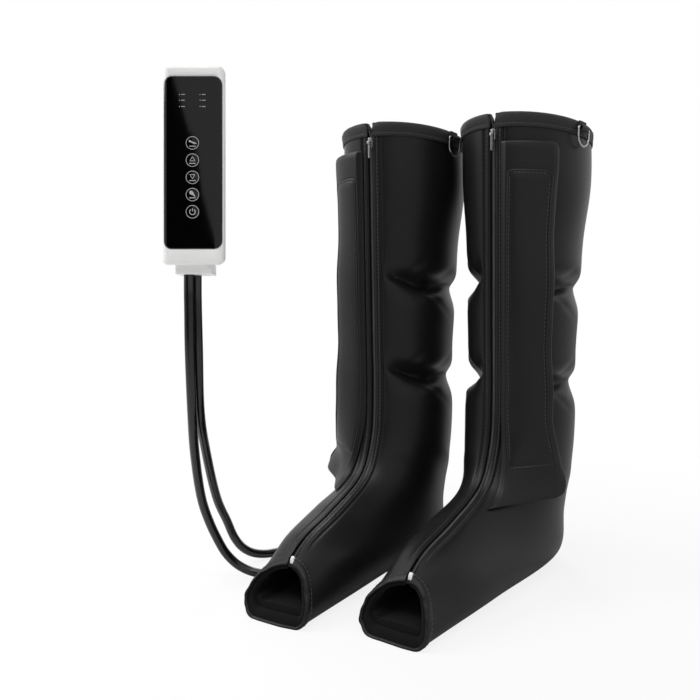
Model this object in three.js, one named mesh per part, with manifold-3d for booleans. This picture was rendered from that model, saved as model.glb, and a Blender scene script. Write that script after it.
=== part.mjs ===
// Air compression leg massager: two padded calf and foot boots with front zips, and a hand
// controller with its pump, joined to the boots by two air hoses.
// Millimetres, +Z up, toes along -Y. The boots stand on Z = 0.
import * as THREE from 'three';
import { mergeVertices } from 'three/addons/utils/BufferGeometryUtils.js';
import Module from 'manifold-3d';

const library = await Module();
library.setup();

// Boot outline. The back of the calf follows the front at a fixed slope.
const cuffFrontHeight = 509;
const cuffSlope = 14;
const cuffBackHeight = cuffFrontHeight - cuffSlope;
const calfFootFrontHeight = 206;
const calfFootSlope = 16;
const calfFootBackHeight = calfFootFrontHeight - calfFootSlope;
const cuffFrontReach = 78;
const calfFootFrontReach = 67;
const calfBackReaches = [92, 96, 88.5, 86, 79, 74];
const calfHalfWidths = [68.5, 68.5, 62, 60.5, 58, 61];
const ankleFront = [-71, 153];
const ankleBack = [67, 125];
const ankleHalfWidth = 60;
const bendFront = [-95, 111];
const bendBack = [57, 60];
const bendHalfWidth = 54;
const instepFront = [-151.5, 86];
const heelBack = [46, 4];
const heelHalfWidth = 52;
const forefootTop = [-205, 69];
const forefootSole = [-115, -3];
const forefootHalfWidth = 46.5;
const toeTop = [-238, 52];
const toeSole = [-267.5, -3];
const toeHalfWidth = 42;

// The foot leans a little towards -X, and its upper is fuller on that side
const instepShift = -1.3;
const forefootShift = -2.4;
const instepFullness = 0.65;
const forefootFullness = 0.7;
const creaseHeights = [326, 219];
const creaseDepth = 8;
const creaseReachAbove = 11;
const creaseReachBelow = 17;
const lipSlump = 13;

// Rows of the air chambers, counted in stations from the cuff, and how near they come to a crease
const upperRows = [0.5, 1.3, 2];
const middleRow = 3.8;
const lowerRows = [5.7, 6.4, 7];
const footRows = [7.35, 7.8, 8.3, 9.1];
const aboveCrease = 0.3;
const belowCrease = 0.45;
const insoleFirstRow = 8.3;
const insoleFirstColumn = 6;

// Boot walls, measured inwards from the outer face of the cover
const seatGap = 0.3;
const coverThickness = 2.4;
const bladderThickness = 3.6;
const liningThickness = 2;
const insoleThickness = 4;
const bindingHeight = 15;
const bindingThickness = 1.2;
const bindingTopRoom = 1.5;
const toeLipLength = 9;
const toeLipSwell = 0.8;

// Front zip
const zipGapHalfWidth = 3.4;
const zipTapeHalfWidth = 9.5;
const zipTapeThickness = 0.8;
const zipTeethHalfWidth = 1.8;
const zipTeethThickness = 2;
const bladderZipHalfWidth = 14;
const zipStopLength = 5;
const zipStopRise = 3.2;
const sliderDrop = 22;
const sliderLength = 12;
const sliderPlateThickness = 1.5;
const sliderCheekWidth = 0.7;
const sliderTravel = 225;
const pullBarRadius = 0.8;
const pullPostWidth = 0.7;
const pullWidth = 2.2;
const pullEyeWall = 0.9;
const pullLength = 17;
const pullThickness = 1.3;
const pinClearance = 0.35;

// Side flap, the hook strip under it and the loop strip that it closes on
const flapTopDrop = 30;
const flapSplitDrop = 336;
const flapFrontOffset = 9.5;
const flapBackAngle = 53;
const flapFootFrontPlace = 7.5;
const flapFootBackPlace = 6.85;
const flapFootFrontOffset = 19;
const flapFootBackAngle = 76;
const flapThickness = 2;
const stripThickness = 1;
const stripEndMargin = 25;
const flapSeamShare = 0.12;
const flapMiddleShares = [0.36, 0.62];
const flapEdgeLift = 1.2;
const flapTopStandOff = 5;
const flapFullStandOff = 14;
const flapFullPlace = 4;
const flapFootGap = 1.2;
const flapFootRows = 4;
const rowMargin = 5;

// Hanging ring on the side of the cuff
const ringAngle = 80;
const ringWidth = 25;
const ringHeight = 20.5;
const ringWire = 2.4;
const ringTabWidth = 14;
const ringTabThickness = 1.1;
const ringTabTail = 4;

// Air port behind the ankle
const portHeight = 96;
const portAngle = 215;
const portFlangeRadius = 11;
const portFlangeThickness = 2.5;
const portStubRadius = 6.5;
const portStubLength = 15;
const portBoreRadius = 3;
const portBoreDepth = 12;

// Where the boots stand
const bootSpacing = 143.5;
const bootStagger = 27.6;
const toeInDegrees = 2.84;
const bootsMiddle = [7.76, 116];

// Brings the middle of the footprint of the boots and controller to the origin
const footprintShift = [8.2, -8.3];

// Hand controller. Its face and its row of keys drive the case and what is inside.
const controllerPlace = [-137.76, -170.21, 442.49];
const controllerTurn = 33.88;
const controllerTilt = 5.105;
const panelWidth = 56;
const panelHeight = 165;
const panelThickness = 2;
const panelCorner = 8;
const panelRise = 0.6;
const panelSideMargin = 2.5;
const panelTopMargin = 11;
const panelFootMargin = 15.5;
const panelSeatWidth = 4;
const caseWidth = panelWidth + 2 * panelSideMargin;
const caseHeight = panelTopMargin + panelHeight + panelFootMargin;
const caseDepth = 34;
const backSideMargin = 5.5;
const backEndMargin = 4;
const caseCorner = 7;
const caseWall = 2;
const frontWall = 3.2;
const frontShellDepth = 15;
const keyNames = ['key_foot', 'key_up', 'key_down', 'key_calf', 'key_power'];
const firstKeyDrop = 75;
const keyPitch = 16.45;
const keyRadius = 6.7;
const keyTravel = 0.8;
const keyRise = 0.2;
const keyFlangeWidth = 0.9;
const keyFlangeThickness = 0.8;
const keypadThickness = 1.2;
const keypadMargin = 2.5;
const keypadSpan = (keyNames.length - 1) * keyPitch + 2 * (keyRadius + keypadMargin);
const boardSideRoom = 5.5;
const boardWidth = caseWidth - 2 * (caseWall + boardSideRoom);
const boardEndMargin = 10;
const boardHeight = keypadSpan + 2 * boardEndMargin;
const boardThickness = 1.6;
const boardLift = 5;
const postRadius = 2;
const batterySideRoom = 8.5;
const batteryWidth = caseWidth - 2 * (caseWall + batterySideRoom);
const batteryHeight = 62;
const batteryThickness = 10;
const batteryTopMargin = 12;
const pumpRadius = 11;
const pumpLength = 48;
const pumpTopDrop = 82;
const valveSize = 13;
const valveLength = 22;
const valveSpacing = 18;
const valveTopDrop = 136;
const socketWidth = 37;
const socketHeight = 8;
const socketDepth = 20;

// Air hoses, listed from the controller to the boots
const hoseRadius = 5;
const hoseSides = 8;
const hoseSteps = 38;
const hoseOffsets = { hose_left: [-6, -4.4], hose_right: [-0.2, 4.8] };
const hosePoints = {
  hose_left: [
    [-135.2, -185.2, 306], [-137.3, -183.4, 268.5], [-143.6, -175.4, 202.2], [-157, -159.5, 157],
    [-173, -134, 98], [-176, -120.5, 70.5], [-175, -108, 46], [-171, -99.5, 29],
    [-162, -91, 15.5], [-149, -82.5, 7.5], [-134, -73.5, 5], [-121, -60, 5], [-114, -42, 5],
    [-112, -20, 5], [-112, 40, 5], [-112, 110, 5], [-112, 175, 5], [-111, 197, 5],
    [-106, 218, 5], [-95, 235, 5], [-79, 247, 5.5], [-59, 252, 8.5], [-42, 250.5, 17.5],
    [-31, 248, 30], [-24, 245.5, 48], [-17, 242.5, 67], [-7.5, 237, 79.5], [5, 228, 88],
  ],
  hose_right: [
    [-134.7, -175.2, 305.7], [-136.3, -173.1, 267.8], [-147.7, -160.3, 199.7], [-167, -132.5, 150.5],
    [-186, -96, 86.5], [-190.5, -76, 56.5], [-190.5, -64, 34], [-188, -53, 19.5],
    [-183.5, -40, 10], [-177, -25, 5.5], [-169, -8, 5], [-164, 14, 5], [-165, 40, 5],
    [-178, 90, 5], [-205, 145, 5], [-232, 185, 5], [-243, 209, 5], [-246, 234, 5],
    [-236, 256, 5], [-214, 269, 6], [-188, 267, 11], [-168, 252, 24], [-160, 234, 50],
    [-156.5, 213, 77.5], [-147, 195, 88],
  ],
};
const hoseTail = 14;

// Finishes
const finish = (color, roughness, metalness = 0) =>
  new THREE.MeshStandardMaterial({ color, roughness, metalness });
const coverFinish = finish(0x1c1c1e, 0.5);
const liningFinish = finish(0x17171a, 0.85);
const bindingFinish = finish(0x303033, 0.6);
const bladderFinish = finish(0x6d7479, 0.4);
const zipFinish = finish(0x111112, 0.6);
const metalFinish = finish(0x2e2e30, 0.3, 0.9);
const whiteFinish = finish(0xf0f0f0, 0.35);
const glossFinish = finish(0x050505, 0.08);
const boardFinish = finish(0x1d5a34, 0.6);
const cellFinish = finish(0x3c4a78, 0.5);
const pumpFinish = finish(0x9a9ca0, 0.35, 0.8);
const rubberFinish = finish(0x8a8a8a, 0.8);
const hoseFinish = finish(0x0b0b0b, 0.15);

// Insets of the layers of a boot's wall
const bladderInset = coverThickness + seatGap;
const liningInset = bladderInset + bladderThickness + seatGap;
const insoleInset = liningInset + liningThickness + seatGap;
const tapeInset = coverThickness + 4 * seatGap;
const teethInset = tapeInset - seatGap - zipTeethThickness;
const wallEnd = toeLipLength + 2.5 * seatGap;

const radians = THREE.MathUtils.degToRad;
const mix = THREE.MathUtils.lerp;

// A closed solid from flat lists of points and triangles, with its faces turned outwards
function closedSolid(points, triangles) {
  let volume = 0;
  const corner = (i) => new THREE.Vector3(...points[i]);
  for (let i = 0; i < triangles.length; i += 3) {
    const [a, b, c] = [0, 1, 2].map((k) => corner(triangles[i + k]));
    volume += a.dot(b.cross(c));
  }
  const faces = volume < 0 ? [...triangles].reverse() : triangles;
  const geometry = new THREE.BufferGeometry();
  geometry.setAttribute('position', new THREE.Float32BufferAttribute(points.flat(), 3));
  geometry.setIndex(faces);
  return geometry;
}

// A closed solid between two faces that share one grid of rows and columns
function gridSolid(rows, columns, pointAt) {
  const points = [];
  const triangles = [];
  for (const face of [0, 1]) {
    for (let row = 0; row <= rows; row += 1) {
      for (let column = 0; column <= columns; column += 1) points.push(pointAt(row, column, face));
    }
  }
  const at = (face, row, column) => (face * (rows + 1) + row) * (columns + 1) + column;
  const quad = (a, b, c, d) => triangles.push(a, b, c, a, c, d);
  for (let r = 0; r < rows; r += 1) {
    for (let c = 0; c < columns; c += 1) {
      quad(at(0, r, c), at(0, r + 1, c), at(0, r + 1, c + 1), at(0, r, c + 1));
      quad(at(1, r, c), at(1, r, c + 1), at(1, r + 1, c + 1), at(1, r + 1, c));
    }
    quad(at(0, r, 0), at(1, r, 0), at(1, r + 1, 0), at(0, r + 1, 0));
    quad(at(0, r, columns), at(0, r + 1, columns), at(1, r + 1, columns), at(1, r, columns));
  }
  for (let c = 0; c < columns; c += 1) {
    quad(at(0, 0, c), at(0, 0, c + 1), at(1, 0, c + 1), at(1, 0, c));
    quad(at(0, rows, c), at(1, rows, c), at(1, rows, c + 1), at(0, rows, c + 1));
  }
  return closedSolid(points, triangles);
}

// A closed solid swept from a polygon, with its two ends filled
function sweptSolid(section, steps, pointAt) {
  const points = [];
  const triangles = [];
  const size = section.length;
  for (let step = 0; step <= steps; step += 1) {
    for (const corner of section) points.push(pointAt(corner, step));
  }
  for (let step = 0; step < steps; step += 1) {
    for (let i = 0; i < size; i += 1) {
      const next = (i + 1) % size;
      const [a, b] = [step * size + i, step * size + next];
      triangles.push(a, b, b + size, a, b + size, a + size);
    }
  }
  const outline = section.map(([u, v]) => new THREE.Vector2(u, v));
  const turnsLeft = THREE.ShapeUtils.area(outline) > 0;
  for (const [a, b, c] of THREE.ShapeUtils.triangulateShape(outline, [])) {
    const last = steps * size;
    const [start, end] = [[c, b, a], [a + last, b + last, c + last]];
    triangles.push(...(turnsLeft ? start : start.reverse()), ...(turnsLeft ? end : end.reverse()));
  }
  return closedSolid(points, triangles);
}

// Joins and cuts
function toManifold(geometry) {
  const plain = new THREE.BufferGeometry();
  plain.setAttribute('position', geometry.getAttribute('position').clone());
  if (geometry.index) plain.setIndex(geometry.index.clone());
  const merged = mergeVertices(plain, 1e-4);
  return new library.Manifold(new library.Mesh({
    numProp: 3,
    vertProperties: new Float32Array(merged.getAttribute('position').array),
    triVerts: new Uint32Array(merged.index.array),
  }));
}

function fromManifold(body) {
  const mesh = body.getMesh();
  const geometry = new THREE.BufferGeometry();
  geometry.setAttribute('position', new THREE.BufferAttribute(mesh.vertProperties, 3));
  geometry.setIndex(new THREE.BufferAttribute(mesh.triVerts, 1));
  return geometry;
}

function joined(...geometries) {
  return fromManifold(geometries.map(toManifold).reduce((whole, next) => whole.add(next)));
}

function cut(geometry, ...tools) {
  return fromManifold([geometry, ...tools].map(toManifold).reduce((rest, tool) => rest.subtract(tool)));
}

function box(width, depth, height, x = 0, y = 0, z = 0) {
  return new THREE.BoxGeometry(width, depth, height).translate(x, y, z);
}

// A plate with round corners that faces the front, from depth y0 back to y1
function frontPlate(width, height, corner, y0, y1, z = 0) {
  const [w, h] = [width / 2, height / 2];
  const shape = new THREE.Shape();
  shape.moveTo(-w + corner, -h);
  shape.lineTo(w - corner, -h);
  shape.absarc(w - corner, -h + corner, corner, -Math.PI / 2, 0, false);
  shape.lineTo(w, h - corner);
  shape.absarc(w - corner, h - corner, corner, 0, Math.PI / 2, false);
  shape.lineTo(-w + corner, h);
  shape.absarc(-w + corner, h - corner, corner, Math.PI / 2, Math.PI, false);
  shape.lineTo(-w, -h + corner);
  shape.absarc(-w + corner, -h + corner, corner, Math.PI, 1.5 * Math.PI, false);
  const options = { depth: y1 - y0, bevelEnabled: false, curveSegments: 3 };
  const plate = new THREE.ExtrudeGeometry(shape, options);
  return plate.rotateX(Math.PI / 2).translate(0, y1, z);
}

// A round post that points to the front, from depth y0 back to y1
function frontPost(radius, y0, y1, x, z, sides = 16) {
  const post = new THREE.CylinderGeometry(radius, radius, y1 - y0, sides);
  return post.translate(x, (y0 + y1) / 2, z);
}

// The boot's form. A place counts the stations from the cuff, 0, to the toe, 10. At each place the
// wall is a ring between a point on the front line and one on the back line, or on the sole.
const lastCalfStation = calfHalfWidths.length - 1;
const calfStations = calfHalfWidths.map((half, station) => {
  const share = station / lastCalfStation;
  const frontReach = mix(cuffFrontReach, calfFootFrontReach, share);
  return {
    front: [-frontReach, mix(cuffFrontHeight, calfFootFrontHeight, share)],
    back: [calfBackReaches[station], mix(cuffBackHeight, calfFootBackHeight, share)],
    half, frontRound: 1, backRound: 1, shift: 0,
  };
});
const footStations = [
  { front: ankleFront, back: ankleBack, half: ankleHalfWidth, frontRound: 1, backRound: 0.95, shift: 0 },
  { front: bendFront, back: bendBack, half: bendHalfWidth, frontRound: 1.05, backRound: 0.8, shift: 0 },
  {
    front: instepFront, back: heelBack, half: heelHalfWidth,
    frontRound: 1.07, fullRound: instepFullness, backRound: 0.65, shift: instepShift,
  },
  {
    front: forefootTop, back: forefootSole, half: forefootHalfWidth,
    frontRound: 1, fullRound: forefootFullness, backRound: 0.68, shift: forefootShift,
  },
  { front: toeTop, back: toeSole, half: toeHalfWidth, frontRound: 1.1, backRound: 0.7, shift: 0 },
];
const stations = [...calfStations, ...footStations];
const toePlace = stations.length - 1;
const calfPitch = (cuffFrontHeight - calfFootFrontHeight) / lastCalfStation;
const outline = {
  frontY: stations.map((station) => station.front[0]),
  frontZ: stations.map((station) => station.front[1]),
  backY: stations.map((station) => station.back[0]),
  backZ: stations.map((station) => station.back[1]),
  half: stations.map((station) => station.half),
  frontRound: stations.map((station) => station.frontRound),
  fullRound: stations.map((station) => station.fullRound ?? station.frontRound),
  backRound: stations.map((station) => station.backRound),
  shift: stations.map((station) => station.shift),
};

// A smooth curve through evenly spaced values, read at a place counted in stations
function smoothValue(values, place) {
  const last = values.length - 1;
  const start = Math.min(Math.max(Math.floor(place), 0), last - 1);
  const part = place - start;
  const [b, c] = [values[start], values[start + 1]];
  const a = start === 0 ? 2 * b - c : values[start - 1];
  const d = start === last - 1 ? 2 * c - b : values[start + 2];
  const bend = 2 * a - 5 * b + 4 * c - d + part * (3 * (b - c) + d - a);
  return b + 0.5 * part * (c - a + part * bend);
}

// How far out the ring's side lies at an angle from the front, as a share of its half width
function sideShare(angle, frontRound, backRound) {
  const widest = frontRound / (frontRound + backRound);
  const peak = Math.sqrt(widest) ** frontRound * Math.sqrt(1 - widest) ** backRound;
  const [rise, fall] = [Math.abs(Math.sin(angle / 2)), Math.abs(Math.cos(angle / 2))];
  return (Math.sign(Math.sin(angle)) * rise ** frontRound * fall ** backRound) / peak;
}

// How deep the wall is drawn in between two air chambers. The front zip isn't drawn in.
const creaseZipShare = 0.1;
const creaseFullShare = 0.38;
function creaseInset(height, angle) {
  const away = THREE.MathUtils.smoothstep(Math.abs(Math.sin(angle / 2)), creaseZipShare, creaseFullShare);
  const depths = creaseHeights.map((middle) => {
    const reach = height > middle ? creaseReachAbove : creaseReachBelow;
    return creaseDepth * Math.exp(-(((height - middle) / reach) ** 2));
  });
  return away * depths.reduce((sum, depth) => sum + depth, 0);
}

// The soft edge of the toe opening leans inwards on its +X side
const slumpLength = 1.1;
function slumpShift(place, angle) {
  const near = THREE.MathUtils.smoothstep(place, toePlace - slumpLength, toePlace);
  const side = Math.max(Math.sin(angle), 0);
  return lipSlump * near * side ** 2 * Math.abs(Math.cos(angle / 2)) ** 0.5;
}

// A point of the boot at an angle about the ring, 0 at the zip and positive towards +X. The inset
// is measured inwards from the cover's outer face, and is negative for what lies on the cover.
function bootPoint(place, angle, inset, creased = true) {
  const [frontY, frontZ] = [smoothValue(outline.frontY, place), smoothValue(outline.frontZ, place)];
  const [backY, backZ] = [smoothValue(outline.backY, place), smoothValue(outline.backZ, place)];
  const [middleY, middleZ] = [(frontY + backY) / 2, (frontZ + backZ) / 2];
  const halfDepth = Math.hypot(frontY - middleY, frontZ - middleZ);
  const drawn = inset + (creased ? creaseInset(middleZ, angle) : 0);
  const along = ((halfDepth - drawn) / halfDepth) * Math.cos(angle);
  const frontRounds = Math.sin(angle) < 0 ? outline.fullRound : outline.frontRound;
  const rounds = [smoothValue(frontRounds, place), smoothValue(outline.backRound, place)];
  const side = (smoothValue(outline.half, place) - drawn) * sideShare(angle, ...rounds);
  const x = side + smoothValue(outline.shift, place) - slumpShift(place, angle);
  const z = middleZ + (frontZ - middleZ) * along;
  return [x, middleY + (frontY - middleY) * along, Math.max(z, inset, 0)];
}

const searchSteps = 40;
function search(low, high, isHigh) {
  let [from, to] = [low, high];
  for (let step = 0; step < searchSteps; step += 1) {
    const middle = (from + to) / 2;
    if (isHigh(middle)) to = middle;
    else from = middle;
  }
  return (from + to) / 2;
}

// The angle at which the cover lies a distance to the side of the zip
function angleAtSide(place, distance) {
  const side = Math.sign(distance);
  const zipX = bootPoint(place, 0, 0, false)[0];
  const reachAt = (angle) => side * (bootPoint(place, side * angle, 0, false)[0] - zipX);
  return side * search(0, Math.PI / 2, (angle) => reachAt(angle) > Math.abs(distance));
}

// The place that lies a number of millimetres before the toe end, measured along the wall
const measureStep = 0.02;
function placeBeforeToe(distance, angle) {
  const [a, b] = [toePlace - measureStep, toePlace].map((place) =>
    new THREE.Vector3(...bootPoint(place, angle, 0, false)));
  return toePlace - (distance * measureStep) / a.distanceTo(b);
}

const placeAtDrop = (drop) => drop / calfPitch;
const placeAtHeight = (height, angle) =>
  search(0, toePlace, (place) => bootPoint(place, angle, 0, false)[2] < height);

// All layers of the wall share one grid, so that their flat facets stay clear of each other
const evenColumns = 16;
function gridAngle(place, column) {
  const reaches = [zipGapHalfWidth, bladderZipHalfWidth];
  const first = reaches.map((distance) => angleAtSide(place, distance));
  const last = reaches.map((distance) => 2 * Math.PI + angleAtSide(place, -distance));
  if (column < 1) return mix(first[0], first[1], column);
  if (column > evenColumns + 1) return mix(last[1], last[0], column - evenColumns - 1);
  return mix(first[1], last[1], (column - 1) / evenColumns);
}
const gridColumns = evenColumns + 2;
const chamberPlace = (height) => search(0, lastCalfStation + 1, (place) =>
  (smoothValue(outline.frontZ, place) + smoothValue(outline.backZ, place)) / 2 < height);
const creasePlaces = creaseHeights.map(chamberPlace);
const edgePlace = seatGap / calfPitch;
const upperChamber = [...upperRows, creasePlaces[0] - aboveCrease];
const middleChamber = [creasePlaces[0] + belowCrease, middleRow, creasePlaces[1] - aboveCrease];
const lowerChamber = [creasePlaces[1] + belowCrease, ...lowerRows];
const wallPlaces = [
  edgePlace, ...upperChamber, creasePlaces[0], ...middleChamber, creasePlaces[1],
  ...lowerChamber, ...footRows, toePlace,
];

// The wall's last row follows the toe lip. All others lie at a fixed place.
function wallPoint(place, column, inset) {
  const angle = gridAngle(Math.min(place, toePlace), column);
  const isToe = place === toePlace;
  return bootPoint(isToe ? placeBeforeToe(wallEnd, angle) : place, angle, inset);
}

// A layer of the boot's wall over some of the shared places and columns
function wallLayer(places, firstColumn, lastColumn, inset, thickness) {
  return gridSolid(places.length - 1, lastColumn - firstColumn, (row, column, face) =>
    wallPoint(places[row], firstColumn + column, inset + face * thickness));
}

// A strip along the zip, given by its columns as distances to the side
function zipStrip(places, sides, inset, thickness) {
  return gridSolid(places.length - 1, sides.length - 1, (row, column, face) => {
    const angle = angleAtSide(places[row], sides[column]);
    const place = places[row] === toePlace ? placeBeforeToe(wallEnd, angle) : places[row];
    return bootPoint(place, angle, inset + face * thickness);
  });
}

function cuffBinding() {
  const foot = placeAtDrop(bindingHeight);
  const top = -placeAtDrop(bindingTopRoom);
  const [outside, inside] = [-seatGap, insoleInset];
  const section = [
    [foot, outside - bindingThickness], [top / 2, outside - bindingThickness], [top, 0],
    [top, inside - seatGap], [top / 2, inside + bindingThickness], [foot, inside + bindingThickness],
    [foot, inside], [0, inside], [0, outside], [foot, outside],
  ];
  return sweptSolid(section, gridColumns, ([place, inset], column) =>
    bootPoint(place, gridAngle(Math.max(place, 0), column), inset));
}

function toeLip() {
  const inside = insoleInset - seatGap;
  const section = [
    [toeLipLength, -toeLipSwell], [toeLipLength / 2, -2 * toeLipSwell], [toeLipLength / 6, -toeLipSwell],
    [0, inside / 4], [0, (3 * inside) / 4], [toeLipLength / 6, inside], [toeLipLength, inside],
  ];
  return sweptSolid(section, gridColumns, ([distance, inset], column) => {
    const angle = gridAngle(toePlace, column);
    return bootPoint(placeBeforeToe(distance, angle), angle, inset);
  });
}

function insole() {
  const places = wallPlaces.filter((place) => place >= insoleFirstRow);
  const lastColumn = gridColumns - insoleFirstColumn;
  return wallLayer(places, insoleFirstColumn, lastColumn, insoleInset, insoleThickness);
}

// Directions of the straight zip: down along it, and out of the boot
const calfFrontHeight = cuffFrontHeight - calfFootFrontHeight;
const zipDown = new THREE.Vector3(0, cuffFrontReach - calfFootFrontReach, -calfFrontHeight).normalize();
const zipOut = new THREE.Vector3(0, zipDown.z, -zipDown.y);
const acrossZip = new THREE.Vector3(-1, 0, 0);

// Moves a geometry made along X, Y and Z onto three directions and a place
function placed(geometry, alongX, alongY, alongZ, origin) {
  return geometry.applyMatrix4(new THREE.Matrix4().makeBasis(alongX, alongY, alongZ).setPosition(origin));
}

// An extrusion of an outline in Y and Z, centred on X = 0
function sideExtrusion(shape, width, segments = 5) {
  const options = { depth: width, bevelEnabled: false, curveSegments: segments };
  const body = new THREE.ExtrudeGeometry(shape, options);
  body.translate(0, 0, -width / 2);
  return body.applyMatrix4(new THREE.Matrix4().makeBasis(
    new THREE.Vector3(0, 1, 0), new THREE.Vector3(0, 0, 1), new THREE.Vector3(1, 0, 0)));
}

const cheekInner = zipTeethHalfWidth + seatGap;
const sliderHalfWidth = cheekInner + sliderCheekWidth;
const plateTop = -teethInset + seatGap + sliderPlateThickness;
const pullEyeInner = pullBarRadius + pinClearance;
const pullEyeOuter = pullEyeInner + pullEyeWall;
const pullAxisRise = plateTop + seatGap + pullEyeOuter;
const sliderOrigin = new THREE.Vector3(...bootPoint(placeAtDrop(sliderDrop), 0, 0, false));
const pullAxisPoint = sliderOrigin.clone().addScaledVector(zipOut, pullAxisRise);

function zipSlider() {
  const plateFoot = -teethInset + seatGap;
  const cheekFoot = -tapeInset + seatGap;
  const plateHeight = plateTop - plateFoot;
  const plate = box(2 * sliderHalfWidth, sliderLength, plateHeight, 0, 0, plateFoot + plateHeight / 2);
  const cheekHeight = plateTop - cheekFoot;
  const cheeks = [-1, 1].map((side) => box(sliderCheekWidth, sliderLength, cheekHeight,
    side * (cheekInner + sliderCheekWidth / 2), 0, cheekFoot + cheekHeight / 2));
  const postTop = pullAxisRise + 2 * pullBarRadius;
  const postX = pullWidth / 2 + pinClearance + pullPostWidth / 2;
  const posts = [-1, 1].map((side) => box(pullPostWidth, 4 * pullBarRadius, postTop - plateFoot,
    side * postX, 0, (postTop + plateFoot) / 2));
  const bar = new THREE.CylinderGeometry(pullBarRadius, pullBarRadius, 2 * postX, 12)
    .rotateZ(Math.PI / 2).translate(0, 0, pullAxisRise);
  return placed(joined(plate, ...cheeks, ...posts, bar), acrossZip, zipDown, zipOut, sliderOrigin);
}

function zipPull() {
  const shape = new THREE.Shape();
  const half = pullThickness / 2;
  const meet = Math.asin(half / pullEyeOuter);
  shape.moveTo(pullLength, -half);
  shape.lineTo(pullLength, half);
  shape.absarc(0, 0, pullEyeOuter, meet, 2 * Math.PI - meet, false);
  const eye = new THREE.Path();
  eye.absarc(0, 0, pullEyeInner, 0, 2 * Math.PI, true);
  shape.holes.push(eye);
  return placed(sideExtrusion(shape, pullWidth), acrossZip, zipDown, zipOut, pullAxisPoint);
}

function zipStop() {
  const half = zipGapHalfWidth - seatGap;
  const [from, to] = [toeLipLength, toeLipLength - zipStopLength];
  return gridSolid(1, 2, (row, column, face) => {
    const place = placeBeforeToe(mix(from, to, row), 0);
    const inset = face ? tapeInset : -zipStopRise;
    return bootPoint(place, angleAtSide(place, half * (column - 1)), inset, false);
  });
}

// The flap hinges on its front edge and lifts off the cover towards its free edge. The strips
// under it follow the columns of the cover, so that they lie flat on its facets.
const stripColumns = [1.2, 2, 2.8];
const rowsBetween = (top, bottom) => [placeAtDrop(top), ...wallPlaces.filter((place) =>
  place > placeAtDrop(top + rowMargin) && place < placeAtDrop(bottom - rowMargin)), placeAtDrop(bottom)];
const flapPlaces = rowsBetween(flapTopDrop, flapSplitDrop);
const stripPlaces = rowsBetween(flapTopDrop + stripEndMargin, flapSplitDrop - stripEndMargin);
const stripInset = -seatGap - stripThickness;
const hookInset = stripInset - seatGap - stripThickness;

// A column of the flap: its angle, and its share of the way from the front edge to the free edge
function flapColumn(side, place, column) {
  const fromZip = (gridColumn) => (side > 0
    ? gridAngle(place, gridColumn) : gridAngle(place, gridColumns - gridColumn) - 2 * Math.PI);
  const [front, back] = [angleAtSide(place, side * flapFrontOffset), side * radians(flapBackAngle)];
  const angle = [front, ...stripColumns.map(fromZip), back][column];
  return { angle, share: (angle - front) / (back - front) };
}

// How far the flap's inner face stands off the cover, more so down the calf
function flapLift(share, place) {
  const seam = THREE.MathUtils.smoothstep(share, 0, flapSeamShare);
  const down = THREE.MathUtils.smoothstep(place, flapPlaces[0], flapFullPlace);
  const standOff = mix(flapTopStandOff, flapFullStandOff, down);
  return mix(flapEdgeLift, seatGap - hookInset, seam) + standOff * share ** 1.5;
}

function sideFlap(side) {
  return gridSolid(flapPlaces.length - 1, stripColumns.length + 1, (row, column, face) => {
    const place = flapPlaces[row];
    const { angle, share } = flapColumn(side, place, column);
    return bootPoint(place, angle, -flapLift(share, place) - face * flapThickness, false);
  });
}

// The flap's foot stays sewn down: it turns outwards over the ankle and ends on the instep
function flapFoot(side) {
  const start = placeAtDrop(flapSplitDrop + flapFootGap);
  const shares = [0, flapSeamShare, ...flapMiddleShares, 1 - flapSeamShare, 1];
  return gridSolid(flapFootRows, shares.length - 1, (row, column, face) => {
    const down = row / flapFootRows;
    const place = mix(start, mix(flapFootFrontPlace, flapFootBackPlace, shares[column]), down);
    const front = angleAtSide(place, side * mix(flapFrontOffset, flapFootFrontOffset, down));
    const back = side * radians(mix(flapBackAngle, flapFootBackAngle, down));
    const inset = -flapLift(shares[column], place) - face * flapThickness;
    return bootPoint(place, mix(front, back, shares[column]), inset, false);
  });
}

// The hook strip follows the flap's inner face, and the loop strip the cover
function flapStrip(side, insetAt) {
  return gridSolid(stripPlaces.length - 1, stripColumns.length - 1, (row, column, face) => {
    const place = stripPlaces[row];
    const { angle, share } = flapColumn(side, place, column + 1);
    return bootPoint(place, angle, insetAt(share, place) + face * stripThickness, false);
  });
}

const hookStrip = (side) => flapStrip(side, (share, place) => seatGap - flapLift(share, place));
const loopStrip = (side) => flapStrip(side, () => stripInset);

// Three directions at a point of the cover: round the boot, down along it, and out of it
function coverFrame(place, angle) {
  const at = (p, a) => new THREE.Vector3(...bootPoint(p, a, 0, false));
  const origin = at(place, angle);
  const round = origin.clone().sub(at(place, angle + measureStep)).normalize();
  const out = round.clone().cross(at(place + measureStep, angle).sub(origin)).normalize();
  return { origin, round, out, down: out.clone().cross(round) };
}

const ringEyeInner = ringWire / Math.SQRT2 + pinClearance;
const ringEyeOuter = ringEyeInner + ringTabThickness;
const ringRise = 2 * seatGap + bindingThickness + ringEyeOuter;
const ringDrop = ringTabTail + ringEyeOuter + seatGap;
const ringFrame = coverFrame(placeAtDrop(ringDrop), radians(ringAngle));
const ringAxisPoint = ringFrame.origin.clone().addScaledVector(ringFrame.out, ringRise);

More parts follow.
